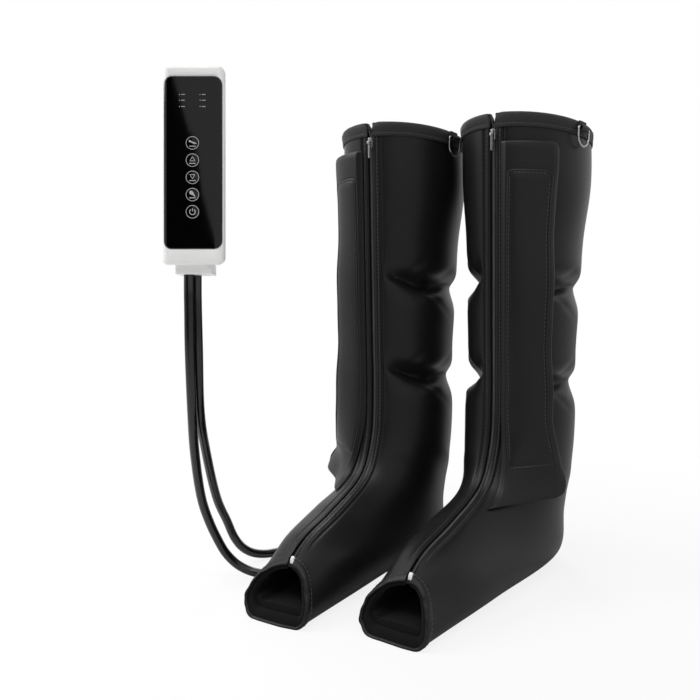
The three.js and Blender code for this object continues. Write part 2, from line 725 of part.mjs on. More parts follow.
function hangingRing() {
  const [half, bar, arc] = [ringWidth / 2, ringWire / 2, ringHeight - ringWidth / 2];
  const shape = new THREE.Shape();
  shape.moveTo(half, -bar);
  shape.lineTo(half, arc);
  shape.absarc(0, arc, half, 0, Math.PI, false);
  shape.lineTo(-half, -bar);
  const hole = new THREE.Path();
  const inner = half - ringWire;
  hole.moveTo(inner, bar);
  hole.lineTo(inner, arc);
  hole.absarc(0, arc, inner, 0, Math.PI, false);
  hole.lineTo(-inner, bar);
  shape.holes.push(hole);
  const ring = new THREE.ExtrudeGeometry(shape, { depth: ringWire, bevelEnabled: false, curveSegments: 10 });
  ring.translate(0, 0, -ringWire / 2);
  return placed(ring, ringFrame.round, ringFrame.down, ringFrame.out, ringAxisPoint);
}

function ringTab() {
  const shape = new THREE.Shape();
  const foot = -ringEyeOuter;
  const tail = -(ringEyeOuter + ringTabTail);
  shape.moveTo(0, foot);
  const meet = Math.PI - Math.acos((foot + ringTabThickness) / -ringEyeOuter);
  shape.absarc(0, 0, ringEyeOuter, -Math.PI / 2, meet, false);
  shape.lineTo(tail, foot + ringTabThickness);
  shape.lineTo(tail, foot);
  const eye = new THREE.Path();
  eye.absarc(0, 0, ringEyeInner, 0, 2 * Math.PI, true);
  shape.holes.push(eye);
  const tab = sideExtrusion(shape, ringTabWidth);
  return placed(tab, ringFrame.round, ringFrame.down, ringFrame.out, ringAxisPoint);
}

const portFrame = coverFrame(placeAtHeight(portHeight, radians(portAngle)), radians(portAngle));
const portReach = seatGap + portFlangeThickness + portStubLength;

function airPort() {
  const mouth = portReach;
  const foot = seatGap;
  const profile = [
    [0, foot], [portFlangeRadius, foot], [portFlangeRadius, foot + portFlangeThickness / 2],
    [portStubRadius + 1, foot + portFlangeThickness], [portStubRadius, foot + 2 * portFlangeThickness],
    [portStubRadius, mouth], [portBoreRadius, mouth], [portBoreRadius, mouth - portBoreDepth],
    [0, mouth - portBoreDepth],
  ].map(([x, y]) => new THREE.Vector2(x, y));
  const turned = new THREE.LatheGeometry(profile, 12).rotateX(Math.PI / 2);
  return placed(turned, portFrame.round, portFrame.down, portFrame.out, portFrame.origin);
}

function named(name, geometry, material) {
  const mesh = new THREE.Mesh(geometry, material);
  mesh.name = name;
  return mesh;
}

// One boot. Side is 1 for the left foot and -1 for the right: the flap lies on the outer side.
function makeBoot(prefix, side) {
  const boot = new THREE.Group();
  const add = (name, geometry, material) => boot.add(named(`${prefix}_${name}`, geometry, material));
  const inner = [1, gridColumns - 1];
  add('cover', wallLayer(wallPlaces, 0, gridColumns, 0, coverThickness), coverFinish);
  add('lining', wallLayer(wallPlaces, ...inner, liningInset, liningThickness), liningFinish);
  const chambers = {
    upper: upperChamber, middle: middleChamber, lower: lowerChamber, foot: footRows,
  };
  for (const [name, places] of Object.entries(chambers)) {
    add(`bladder_${name}`, wallLayer(places, ...inner, bladderInset, bladderThickness), bladderFinish);
  }
  add('insole', insole(), liningFinish);
  add('cuff_binding', cuffBinding(), bindingFinish);
  add('toe_lip', toeLip(), coverFinish);
  const tapeSides = [-zipTapeHalfWidth, -zipGapHalfWidth, 0, zipGapHalfWidth, zipTapeHalfWidth];
  add('zip_tape', zipStrip(wallPlaces, tapeSides, tapeInset, zipTapeThickness), zipFinish);
  const teethSides = [-zipTeethHalfWidth, zipTeethHalfWidth];
  add('zip_teeth', zipStrip(wallPlaces, teethSides, teethInset, zipTeethThickness), zipFinish);
  add('zip_slider', zipSlider(), metalFinish);
  add('zip_pull', zipPull(), metalFinish);
  add('zip_stop', zipStop(), whiteFinish);
  add('side_flap', sideFlap(side), coverFinish);
  add('flap_foot', flapFoot(side), coverFinish);
  add('hook_strip', hookStrip(side), zipFinish);
  add('loop_strip', loopStrip(side), liningFinish);
  add('ring_tab', ringTab(), bindingFinish);
  add('d_ring', hangingRing(), metalFinish);
  add('air_port', airPort(), hoseFinish);
  boot.position.set(bootsMiddle[0] + (side * bootSpacing) / 2, bootsMiddle[1] + (side * bootStagger) / 2, 0);
  boot.rotation.z = -side * radians(toeInDegrees);
  boot.updateMatrixWorld(true);
  return boot;
}

// Depths in the controller, from its front face at -caseDepth / 2 to its back
const caseFront = -caseDepth / 2;
const caseBack = caseDepth / 2;
const partingY = caseFront + frontShellDepth;
const panelFront = caseFront - panelRise;
const panelBack = panelFront + panelThickness;
const panelSeat = panelBack + seatGap;
const panelZ = caseHeight / 2 - panelTopMargin - panelHeight / 2;
const keyFlangeBack = panelSeat + keyFlangeThickness;
const keypadFront = keyFlangeBack + keyTravel + seatGap;
const boardFront = keypadFront + keypadThickness + seatGap;
const keyHeights = keyNames.map((name, index) => caseHeight / 2 - firstKeyDrop - index * keyPitch);
const boardZ = -boardLift;
const backSeat = caseBack - caseWall - seatGap;

// The case narrows evenly from its front face to its back
const backShares = [1 - (2 * backSideMargin) / caseWidth, 1 - (2 * backEndMargin) / caseHeight];
const taperAt = (y) => backShares.map((share) => mix(1, share, (y - caseFront) / caseDepth));

function tapered(geometry) {
  const position = geometry.getAttribute('position');
  for (let i = 0; i < position.count; i += 1) {
    const [across, up] = taperAt(position.getY(i));
    position.setX(i, position.getX(i) * across);
    position.setZ(i, position.getZ(i) * up);
  }
  return geometry;
}

function frontShell() {
  const shell = tapered(frontPlate(caseWidth, caseHeight, caseCorner, caseFront, partingY));
  const inner = [caseWidth - 2 * caseWall, caseHeight - 2 * caseWall, caseCorner - caseWall];
  const cavity = tapered(frontPlate(...inner, caseFront + frontWall, partingY + 1));
  const recess = frontPlate(panelWidth + 2 * seatGap, panelHeight + 2 * seatGap, panelCorner,
    caseFront - 1, panelSeat, panelZ);
  const window = frontPlate(panelWidth - 2 * panelSeatWidth, panelHeight - 2 * panelSeatWidth,
    caseCorner - caseWall, caseFront, partingY, panelZ);
  const postX = boardWidth / 2 + postRadius / 2;
  const postZ = boardHeight / 2 - 2 * postRadius;
  const [postStart, postEnd] = [caseFront + frontWall - 1, boardFront - seatGap];
  const posts = [-1, 1].flatMap((x) => [-1, 1].map((z) =>
    frontPost(postRadius, postStart, postEnd, x * postX, boardZ + z * postZ, 12)));
  return joined(cut(shell, cavity, recess, window), ...posts);
}

function rearShell() {
  const shell = tapered(frontPlate(caseWidth, caseHeight, caseCorner, partingY + seatGap, caseBack));
  const inner = [caseWidth - 2 * caseWall, caseHeight - 2 * caseWall, caseCorner - caseWall];
  return cut(shell, tapered(frontPlate(...inner, partingY, caseBack - caseWall)));
}

// The hose socket's top follows the tapered underside of the case
function hoseSocket() {
  const shape = new THREE.Shape();
  const [front, back] = [-socketDepth / 2, socketDepth / 2];
  const foot = -caseHeight / 2 - seatGap - socketHeight;
  const topAt = (y) => (-caseHeight / 2) * taperAt(y)[1] - seatGap;
  shape.moveTo(front, foot);
  shape.lineTo(back, foot);
  shape.lineTo(back, topAt(back));
  shape.lineTo(front, topAt(front));
  return sideExtrusion(shape, socketWidth);
}

function facePanel() {
  const panel = frontPlate(panelWidth, panelHeight, panelCorner, panelFront, panelBack, panelZ);
  const holes = keyHeights.map((z) => frontPost(keyRadius + seatGap, panelFront - 1, panelBack + 1, 0, z));
  return cut(panel, ...holes);
}

function keyCap(z) {
  const cap = frontPost(keyRadius, panelFront - keyRise, keyFlangeBack, 0, z);
  return joined(cap, frontPost(keyRadius + keyFlangeWidth, panelSeat, keyFlangeBack, 0, z));
}

function makeController() {
  const controller = new THREE.Group();
  const add = (name, geometry, material) => controller.add(named(name, geometry, material));
  add('front_shell', frontShell(), whiteFinish);
  add('rear_shell', rearShell(), whiteFinish);
  add('face_panel', facePanel(), glossFinish);
  keyNames.forEach((name, index) => add(name, keyCap(keyHeights[index]), glossFinish));
  const keypadZ = (keyHeights[0] + keyHeights.at(-1)) / 2;
  add('keypad', box(2 * (keyRadius + keypadMargin), keypadThickness, keypadSpan,
    0, keypadFront + keypadThickness / 2, keypadZ), rubberFinish);
  add('main_board', box(boardWidth, boardThickness, boardHeight,
    0, boardFront + boardThickness / 2, boardZ), boardFinish);
  add('battery_pack', box(batteryWidth, batteryThickness, batteryHeight, 0, backSeat - batteryThickness / 2,
    caseHeight / 2 - batteryTopMargin - batteryHeight / 2), cellFinish);
  add('air_pump', new THREE.CylinderGeometry(pumpRadius, pumpRadius, pumpLength, 16).rotateX(Math.PI / 2)
    .translate(0, backSeat - pumpRadius, caseHeight / 2 - pumpTopDrop - pumpLength / 2), pumpFinish);
  for (const [name, x] of [['air_valve_left', valveSpacing / 2], ['air_valve_right', -valveSpacing / 2]]) {
    add(name, box(valveSize, valveSize, valveLength, x, backSeat - valveSize / 2,
      caseHeight / 2 - valveTopDrop - valveLength / 2), pumpFinish);
  }
  add('hose_socket', hoseSocket(), whiteFinish);
  controller.position.set(...controllerPlace);
  controller.rotation.set(-radians(controllerTilt), 0, radians(controllerTurn), 'ZXY');
  controller.updateMatrixWorld(true);
  return controller;
}

// A hose's route never dips into the surface that it lies on
class HoseRoute extends THREE.CatmullRomCurve3 {
  getPoint(share, target) {
    const point = super.getPoint(share, target);
    point.z = Math.max(point.z, hoseRadius);
    return point;
  }
}

function makeHose(name, controller, boot) {
  const [across, deep] = hoseOffsets[name];
  const mouth = -caseHeight / 2 - 2 * seatGap - socketHeight;
  const below = (drop) => controller.localToWorld(new THREE.Vector3(across, deep, mouth - drop));
  const [start, leave] = [0, hoseTail].map(below);
  const port = (reach) => boot.localToWorld(portFrame.origin.clone().addScaledVector(portFrame.out, reach));
  const end = port(portReach + seatGap);
  const arrive = port(portReach + seatGap + hoseTail);
  const points = hosePoints[name].map((point) => new THREE.Vector3(...point));
  const route = new HoseRoute([start, leave, ...points, arrive, end], false, 'centripetal');
  const section = new THREE.Shape();
  section.absarc(0, 0, hoseRadius, 0, 2 * Math.PI, false);
  const options = { steps: hoseSteps, extrudePath: route, curveSegments: hoseSides / 2 };
  return named(name, new THREE.ExtrudeGeometry(section, options), hoseFinish);
}

const massager = new THREE.Group();
const leftBoot = makeBoot('left', 1);
const rightBoot = makeBoot('right', -1);
const controller = makeController();
massager.add(leftBoot, rightBoot, controller);
massager.add(makeHose('hose_left', controller, leftBoot), makeHose('hose_right', controller, rightBoot));
massager.position.set(...footprintShift, 0);

export default massager;
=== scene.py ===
"""Looks of an air compression leg massager: two padded leg boots and a hand controller.

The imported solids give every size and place. The soft layers of the boots repeat the form that
the solids have, with finer meshes. Sizes are in millimetres, and meshes are written in metres.
"""

import logging
import math
from dataclasses import dataclass, field
from enum import Enum
from typing import Any, Callable, Sequence

import bmesh
import bpy
import numpy as np
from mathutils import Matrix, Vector

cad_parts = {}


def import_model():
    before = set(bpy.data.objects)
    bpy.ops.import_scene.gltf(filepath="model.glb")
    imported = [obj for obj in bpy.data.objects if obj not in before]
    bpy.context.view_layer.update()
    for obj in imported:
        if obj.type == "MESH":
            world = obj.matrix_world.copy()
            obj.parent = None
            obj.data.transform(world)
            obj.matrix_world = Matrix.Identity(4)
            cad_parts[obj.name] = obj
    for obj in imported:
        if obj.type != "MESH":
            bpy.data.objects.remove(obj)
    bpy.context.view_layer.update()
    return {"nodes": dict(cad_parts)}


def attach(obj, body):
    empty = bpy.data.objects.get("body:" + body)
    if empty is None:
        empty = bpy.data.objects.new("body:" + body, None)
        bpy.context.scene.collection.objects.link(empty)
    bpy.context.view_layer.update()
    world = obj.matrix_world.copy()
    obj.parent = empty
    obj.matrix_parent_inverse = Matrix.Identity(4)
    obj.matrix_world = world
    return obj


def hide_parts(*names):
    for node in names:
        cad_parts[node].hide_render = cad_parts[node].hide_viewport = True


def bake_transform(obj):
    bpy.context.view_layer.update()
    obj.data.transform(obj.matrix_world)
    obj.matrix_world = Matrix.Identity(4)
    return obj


MM = 0.001
SEAT_GAP = 0.3
PATTERN_MAP = "Pattern"
# Brings the middle of the footprint to the origin, as the solids do
FOOTPRINT_SHIFT = (8.2, -8.3, 0.0)

log = logging.getLogger("leg_massager")

Array = np.ndarray
Pair = tuple[float, float]
Triple = tuple[float, float, float]
Pairs = Sequence[Pair]
Frame = tuple[Array, Array, Array, Array]
Object = bpy.types.Object


class Texture(Enum):
    """The fine surface that a finish has."""

    GRAIN = "fine_grain"
    WEAVE = "woven_cloth"
    FUZZ = "short_fuzz"
    MOULDED = "moulded_skin"
    BRUSHED = "drawn_metal"
    TRACES = "board_traces"


def smoothstep(value: Array, low: float, high: float) -> Array:
    """Smooth rise of a value from 0 at low to 1 at high."""
    share = np.clip((np.asarray(value, float) - low) / (high - low), 0, 1)
    return share * share * (3 - 2 * share)


def bell(value: Array, middle: float, reach: float) -> Array:
    """Bell curve with a peak of 1 at the middle."""
    return np.exp(-(((value - middle) / reach) ** 2))


def unit(vectors: Array) -> Array:
    """Vectors scaled to length 1 along their last axis."""
    return vectors / np.maximum(np.linalg.norm(vectors, axis=-1, keepdims=True), 1e-12)


def half_turn(angle: Array) -> Array:
    """Angle from the zip, brought between half a turn back and half a turn on."""
    return (angle + math.pi) % (2 * math.pi) - math.pi


def turned(points: Array, degrees: float) -> Array:
    """Points turned to the left about the vertical axis.

    Args:
        points: Points with X, Y and Z on the last axis.
        degrees: Angle of the turn.

    Returns:
        The turned points.
    """
    cosine, sine = math.cos(math.radians(degrees)), math.sin(math.radians(degrees))
    x, y, z = points[..., 0], points[..., 1], points[..., 2]
    return np.stack([x * cosine - y * sine, x * sine + y * cosine, z], -1)


def set_at(origin: Array, *ways: Array) -> Callable[[Array], Array]:
    """Function that takes points along three directions and sets them at an origin."""
    return lambda points: origin + sum(points[:, k : k + 1] * way for k, way in enumerate(ways))


def lengths_along(line: Array) -> Array:
    """Length of a line from its start to each of its points."""
    return np.concatenate([[0], np.cumsum(np.linalg.norm(np.diff(line, axis=0), axis=1))])


def side_points(corners: Array, steps: int) -> Array:
    """Close points along the sides of a closed outline."""
    sides = zip(corners, np.roll(corners, -1, 0))
    return np.concatenate([np.linspace(a, b, steps, endpoint=False) for a, b in sides])


@dataclass
class Surface:
    """Points in millimetres with the faces between them."""

    points: Array
    faces: list[Array]
    pattern: Array | None = None

    def joined(self, *others: "Surface") -> "Surface":
        """This surface and others as one, each still closed by itself.

        Args:
            others: The surfaces to add.

        Returns:
            One surface with all points and faces.
        """
        parts = [self, *others]
        starts = np.cumsum([0] + [len(part.points) for part in parts[:-1]])
        faces = [block + start for part, start in zip(parts, starts) for block in part.faces]
        return Surface(np.concatenate([part.points for part in parts]), faces)

    def moved(self, place: Callable[[Array], Array]) -> "Surface":
        """The same faces with every point carried over by a function."""
        return Surface(place(self.points), self.faces, self.pattern)


def grid_quads(rows: int, columns: int, start: int = 0, turned: bool = False) -> Array:
    """Four-sided faces of a grid of points that is stored row by row.

    Args:
        rows: Number of rows of points.
        columns: Number of points in a row.
        start: Index of the first point.
        turned: True to face the other way.

    Returns:
        One row of four point indices for each face.
    """
    row, column = np.meshgrid(np.arange(rows - 1), np.arange(columns - 1), indexing="ij")
    first = start + row * columns + column
    quads = np.stack([first, first + 1, first + columns + 1, first + columns], -1).reshape(-1, 4)
    return quads[:, ::-1] if turned else quads


def wall(outer: Array, inner: Array, spacing: tuple[Array, Array] | None = None) -> Surface:
    """Closed wall between two grids of the same size, such as the two faces of a fabric.

    Args:
        outer: Outer face, as rows of points.
        inner: Inner face, as rows of points.
        spacing: Distances down and across in millimetres for the weave's map.

    Returns:
        The closed surface.
    """
    rows, columns = outer.shape[:2]
    count = rows * columns
    index = np.arange(count).reshape(rows, columns)
    border = np.concatenate([index[0], index[1:, -1], index[-1, -2::-1], index[-2:0:-1, 0]])
    after = np.roll(border, -1)
    rim = np.stack([border, border + count, after + count, after], -1)
    points = np.concatenate([outer.reshape(-1, 3), inner.reshape(-1, 3)])
    faces = [grid_quads(rows, columns), grid_quads(rows, columns, count, True), rim]
    pattern = None
    if spacing is not None:
        down, across = spacing
        one = np.stack([np.broadcast_to(across, (rows, columns)), np.broadcast_to(down, (rows, columns))], -1)
        pattern = np.concatenate([one.reshape(-1, 2)] * 2) * MM
    return Surface(points, faces, pattern)


def loft(rings: Sequence[Array], closed: bool = False) -> Surface:
    """Surface through rings of points, with filled ends unless it closes on itself.

    Args:
        rings: Rings with the same number of points, in order.
        closed: True where the last ring joins the first.

    Returns:
        The closed surface.
    """
    size, count = len(rings[0]), len(rings)
    index = np.arange(size * count).reshape(count, size)
    pairs = [(k, (k + 1) % count) for k in range(count if closed else count - 1)]
    faces = [
        np.stack([index[a], np.roll(index[a], -1), np.roll(index[b], -1), index[b]], -1)
        for a, b in pairs
    ]
    if not closed:
        faces += [index[0][None, ::-1], index[-1][None, :]]
    return Surface(np.concatenate(rings), faces)


def run(path: Array, closed: bool) -> Array:
    """Way from the point before to the point after each point of a path.

    Args:
        path: Points of the path.
        closed: True for a path that ends where it starts.

    Returns:
        The ways, not scaled.
    """
    after, before = np.roll(path, -1, 0), np.roll(path, 1, 0)
    if not closed:
        after[-1], before[0] = path[-1], path[0]
    return after - before


def sweep(path: Array, across: Array, section: Array, closed: bool = False) -> Surface:
    """Section carried along a path.

    Args:
        path: Points of the path.
        across: Direction of the section's first axis at each point.
        section: Outline of the section, as pairs.
        closed: True for a path that ends where it starts.

    Returns:
        The closed surface.
    """
    along = unit(run(path, closed))
    first = unit(across - (across * along).sum(-1, keepdims=True) * along)
    second = np.cross(along, first)
    rings = [
        point + section[:, :1] * u + section[:, 1:] * v for point, u, v in zip(path, first, second)
    ]
    return loft(rings, closed)


def circle(radius: float, sides: int) -> Array:
    """Outline of a round section."""
    turn = np.linspace(0, 2 * math.pi, sides, endpoint=False)
    return radius * np.stack([np.cos(turn), np.sin(turn)], -1)


def round_box(width: float, height: float, corner: float, steps: int = 6) -> Array:
    """Outline of a rectangle with round corners, centred on 0.

    Args:
        width: Full width.
        height: Full height.
        corner: Radius of the corners.
        steps: Number of steps in a corner.

    Returns:
        Outline points as pairs.
    """
    corner = max(corner, 0.01)
    turn = np.linspace(0, math.pi / 2, steps + 1)
    arc = corner * np.stack([np.cos(turn), np.sin(turn)], -1)
    quarter = arc + [width / 2 - corner, height / 2 - corner]
    half = np.concatenate([quarter, quarter[::-1] * [-1, 1]])
    return np.concatenate([half, -half])


def inset_outline(outline: Array, distance: float) -> Array:
    """Outline drawn inwards by a distance.

    Args:
        outline: Points that run round to the left.
        distance: How far inwards.

    Returns:
        The smaller outline, with as many points.
    """
    before, after = unit(outline - np.roll(outline, 1, 0)), unit(np.roll(outline, -1, 0) - outline)
    normals = np.stack([-(before + after)[:, 1], (before + after)[:, 0]], -1) / 2
    return outline + normals * distance / np.maximum((normals**2).sum(-1, keepdims=True), 0.4)


def soft_plate(outline: Array, low: float, high: float, edge: float, steps: int = 3) -> Surface:
    """Plate with rounded edges, along the third axis.

    Args:
        outline: Outline that runs round to the left.
        low: Level of the lower face.
        high: Level of the upper face.
        edge: Radius of the edges.
        steps: Number of steps in an edge.

    Returns:
        The closed surface.
    """
    turn = np.linspace(0, math.pi / 2, steps + 1)
    levels = [(edge * (1 - math.sin(a)), low + edge * (1 - math.cos(a))) for a in turn]
    levels += [(edge * (1 - math.cos(a)), high - edge * (1 - math.sin(a))) for a in turn]
    rings = []
    for inset, level in levels:
        ring = inset_outline(outline, inset)
        rings.append(np.column_stack([ring, np.full(len(ring), level)]))
    return loft(rings)


def sliced(surface: Surface, cuts: Sequence[tuple[int, float]]) -> Surface:
    """Adds edges where planes cross a surface, so that it can be bent there.

    Args:
        surface: The surface.
        cuts: Axis that each plane is square to, and its place on that axis.

    Returns:
        The surface with more edges.
    """
    shell = bmesh.new()
    corners = [shell.verts.new(point) for point in surface.points]
    for block in surface.faces:
        for face in block.tolist():
            shell.faces.new([corners[index] for index in face])
    for axis, place in cuts:
        normal = Vector([float(axis == k) for k in range(3)])
        parts = [*shell.verts, *shell.edges, *shell.faces]
        bmesh.ops.bisect_plane(shell, geom=parts, plane_co=normal * place, plane_no=normal)
    shell.verts.index_update()
    points = np.array([vert.co for vert in shell.verts])
    faces = [np.array([[vert.index for vert in face.verts]]) for face in shell.faces]
    shell.free()
    return Surface(points, faces)


def lathe(profile: Pairs, sides: int = 48) -> Surface:
    """Piece turned about the third axis from pairs of radius and level."""
    ring = circle(1, sides)
    return loft([np.column_stack([ring * max(r, 0.01), np.full(sides, z)]) for r, z in profile])


def ribbon(points: Array, width: float, low: float, high: float, closed: bool = False) -> Surface:
    """Flat printed line of even width in the plane of the first two axes.

    Args:
        points: The line's middle, as pairs.
        width: Width of the line.
        low: Level of its lower face.
        high: Level of its upper face.
        closed: True for a ring.

    Returns:
        The closed surface.
    """
    path = np.column_stack([points, np.full(len(points), (low + high) / 2)])
    half, rise = width / 2, (high - low) / 2
    section = np.array([[-half, -rise], [half, -rise], [half, rise], [-half, rise]])
    return sweep(path, np.cross(run(path, closed), [0.0, 0.0, 1.0]), section, closed)


def arc_points(radius: float, start: float, end: float, steps: int = 24) -> Array:
    """Points on an arc about 0 between two angles in degrees."""
    turn = np.radians(np.linspace(start, end, steps))
    return radius * np.stack([np.cos(turn), np.sin(turn)], -1)


def smooth_route(points: Array, steps: int) -> Array:
    """Centripetal curve through all points.

    Args:
        points: Points of the route.
        steps: Steps between two points.

    Returns:
        Close points of the curve.
    """
    ends = [2 * points[0] - points[1], *points, 2 * points[-1] - points[-2]]
    part = np.linspace(0, 1, steps, endpoint=False)[:, None]
    route = []
    for a, b, c, d in zip(ends, ends[1:], ends[2:], ends[3:]):
        t0, t1, t2 = (math.sqrt(np.linalg.norm(q - p)) for p, q in ((a, b), (b, c), (c, d)))
        start = t1 * ((b - a) / t0 - (c - a) / (t0 + t1) + (c - b) / t1)
        end = t1 * ((c - b) / t1 - (d - b) / (t1 + t2) + (d - c) / t2)
        square, cube = (3 * (c - b) - 2 * start - end), (2 * (b - c) + start + end)
        route.append(b + part * (start + part * (square + part * cube)))
    return np.concatenate([*route, points[-1:]])


class NodeTree:
    """Nodes of a material, a world or a group, added and joined in few words."""

    def __init__(self, tree: bpy.types.NodeTree) -> None:
        """Takes the tree that the nodes go to."""
        self.tree = tree

    @classmethod
    def of(cls, owner: Any) -> "NodeTree":
        """Nodes of a new material or world."""
        owner.use_nodes = True
        return cls(owner.node_tree)

    def feed(self, node: Any, inputs: dict[Any, Any]) -> None:
        """Gives inputs of a node their values or the sockets that they follow.

        Args:
            node: The node, or its name.
            inputs: Values or sockets by the input's name or number.
        """
        node = self.tree.nodes[node] if isinstance(node, str) else node
        for key, value in inputs.items():
            if isinstance(value, bpy.types.NodeSocket):
                self.tree.links.new(value, node.inputs[key])
            else:
                node.inputs[key].default_value = value

    def add(self, kind: str, inputs: dict[Any, Any] | None = None, **settings: Any) -> Any:
        """Adds a node.

        Args:
            kind: Its type, without the first words.
            inputs: Values or sockets by the input's name or number.
            settings: The node's own settings.

        Returns:
            The node's outputs.
        """
        node = self.tree.nodes.new(f"ShaderNode{kind}")
        for name, value in settings.items():
            setattr(node, name, value)
        self.feed(node, inputs or {})
        return node.outputs

    def maths(self, operation: str, first: Any, second: Any) -> Any:
        """Result of a math node between two sockets or numbers."""
        return self.add("Math", {0: first, 1: second}, operation=operation)[0]


class NodeGroup(NodeTree):
    """Group of shader nodes that several finishes share, built once."""

    def __init__(self, name: str, inputs: dict[str, Any], outputs: dict[str, str]) -> None:
        """Starts a group with its sockets.

        Args:
            name: Name of the group.
            inputs: Value that each input starts with, or none for a place.
            outputs: Kind of each output.
        """
        super().__init__(bpy.data.node_groups.new(name, "ShaderNodeTree"))
        new_socket = self.tree.interface.new_socket
        kinds = {tuple: "Color", float: "Float"}
        for label, value in inputs.items():
            kind = kinds.get(type(value), "Vector")
            made = new_socket(name=label, in_out="INPUT", socket_type=f"NodeSocket{kind}")
            if value is not None:
                made.default_value = value
        for label, kind in outputs.items():
            new_socket(name=label, in_out="OUTPUT", socket_type=f"NodeSocket{kind}")
        self.source = self.tree.nodes.new("NodeGroupInput").outputs
        self.target = self.tree.nodes.new("NodeGroupOutput")

    @classmethod
    def fine(cls, texture: Texture) -> bpy.types.NodeTree:
        """Height and mask of a fine surface, built at its first use.

        Args:
            texture: The fine surface.

        Returns:
            The group.
        """
        found = bpy.data.node_groups.get(texture.value)
        if found:
            return found
        group = cls(texture.value, {"Vector": None, "Scale": 1000.0}, {"Height": "Float", "Mask": "Float"})
        height, mask = getattr(group, texture.value)()
        group.feed(group.target, {"Height": height, "Mask": mask})
        return group.tree

    def texture(self, kind: str, inputs: dict[str, Any], factor: float = 1.0, **settings: Any) -> Any:
        """Texture on the group's vector.

        Args:
            kind: Its node's type, without the first words.
            inputs: Inputs other than its scale.
            factor: Share of the group's scale that it has.
            settings: The node's own settings.

        Returns:
            The socket of its value.
        """
        scale = self.maths("MULTIPLY", self.source["Scale"], factor)
        node = self.add(kind, {"Vector": self.source["Vector"], "Scale": scale, **inputs}, **settings)
        return node["Distance" if kind == "TexVoronoi" else "Fac"]

    def fine_grain(self) -> tuple[Any, Any]:
        """Pebbled grain of coated leather."""
        pebbles = self.maths("MULTIPLY", self.texture("TexVoronoi", {}, feature="SMOOTH_F1"), 0.7)
        creases = self.texture("TexNoise", {"Detail": 3.0}, 0.35)
        return self.maths("ADD", pebbles, creases), creases

    def woven_cloth(self) -> tuple[Any, Any]:
        """Plain weave, with threads over and under each other."""
        threads = [self.texture("TexWave", {"Distortion": 0.4}, bands_direction=way) for way in "XY"]
        height = self.maths("MULTIPLY", *threads)
        fibre = self.maths("MULTIPLY", self.texture("TexNoise", {"Detail": 2.0}, 4.0), 0.35)
        return self.maths("ADD", height, fibre), height

    def short_fuzz(self) -> tuple[Any, Any]:
        """Short hooks, loops or brushed nap."""
        nap = self.texture("TexNoise", {"Detail": 4.0}, 2.5)
        return self.maths("ADD", self.texture("TexVoronoi", {}, feature="F1"), nap), nap

    def moulded_skin(self) -> tuple[Any, Any]:
        """Faint waviness and fine texture of moulded plastic."""
        fine = self.maths("MULTIPLY", self.texture("TexNoise", {"Detail": 2.0}), 0.3)
        broad = self.texture("TexNoise", {"Detail": 1.0}, 0.02)
        return self.maths("ADD", fine, broad), broad

    def drawn_metal(self) -> tuple[Any, Any]:
        """Fine scratches of handled metal."""
        stretch = self.add("Mapping", {"Scale": (1.0, 1.0, 0.08), "Vector": self.source["Vector"]})
        scratches = self.texture("TexNoise", {"Detail": 3.0, "Vector": stretch["Vector"]})
        return scratches, scratches

    def board_traces(self) -> tuple[Any, Any]:
        """Copper traces under a board's lacquer."""
        turn = self.add("Mapping", {"Rotation": (math.pi / 2, 0, 0), "Vector": self.source["Vector"]})
        bricks = self.texture("TexBrick", {
            "Color1": (0, 0, 0, 1), "Color2": (0.2, 0.2, 0.2, 1), "Mortar": (1, 1, 1, 1),
            "Mortar Size": 0.04, "Vector": turn["Vector"],
        })
        return bricks, bricks

    @classmethod
    def tone(cls) -> bpy.types.NodeTree:
        """Uneven dye and gloss, with a second colour where the mask is high.

        Returns:
            The group, built at its first use.
        """
        found = bpy.data.node_groups.get("uneven_tone")
        if found:
            return found
        group = cls("uneven_tone", {
            "Vector": None, "Mask": 0.5, "Colour": (0.5, 0.5, 0.5, 1), "Second Colour": (0.6, 0.6, 0.6, 1),
            "Patch Scale": 12.0, "Roughness": 0.5, "Gloss Change": 0.08,
        }, {"Colour": "Color", "Roughness": "Float"})
        source = group.source
        place = {"Vector": source["Vector"], "Scale": source["Patch Scale"]}
        patches = group.add("TexNoise", {"Detail": 4.0, **place})["Fac"]
        share = group.maths("MULTIPLY", source["Mask"], patches)
        colours = {"Factor": share, "A": source["Colour"], "B": source["Second Colour"]}
        blend = group.add("Mix", colours, data_type="RGBA")
        change = group.maths("MULTIPLY", group.maths("SUBTRACT", patches, 0.5), source["Gloss Change"])
        roughness = group.maths("ADD", source["Roughness"], change)
        group.feed(group.target, {"Colour": blend["Result"], "Roughness": roughness})
        return group.tree


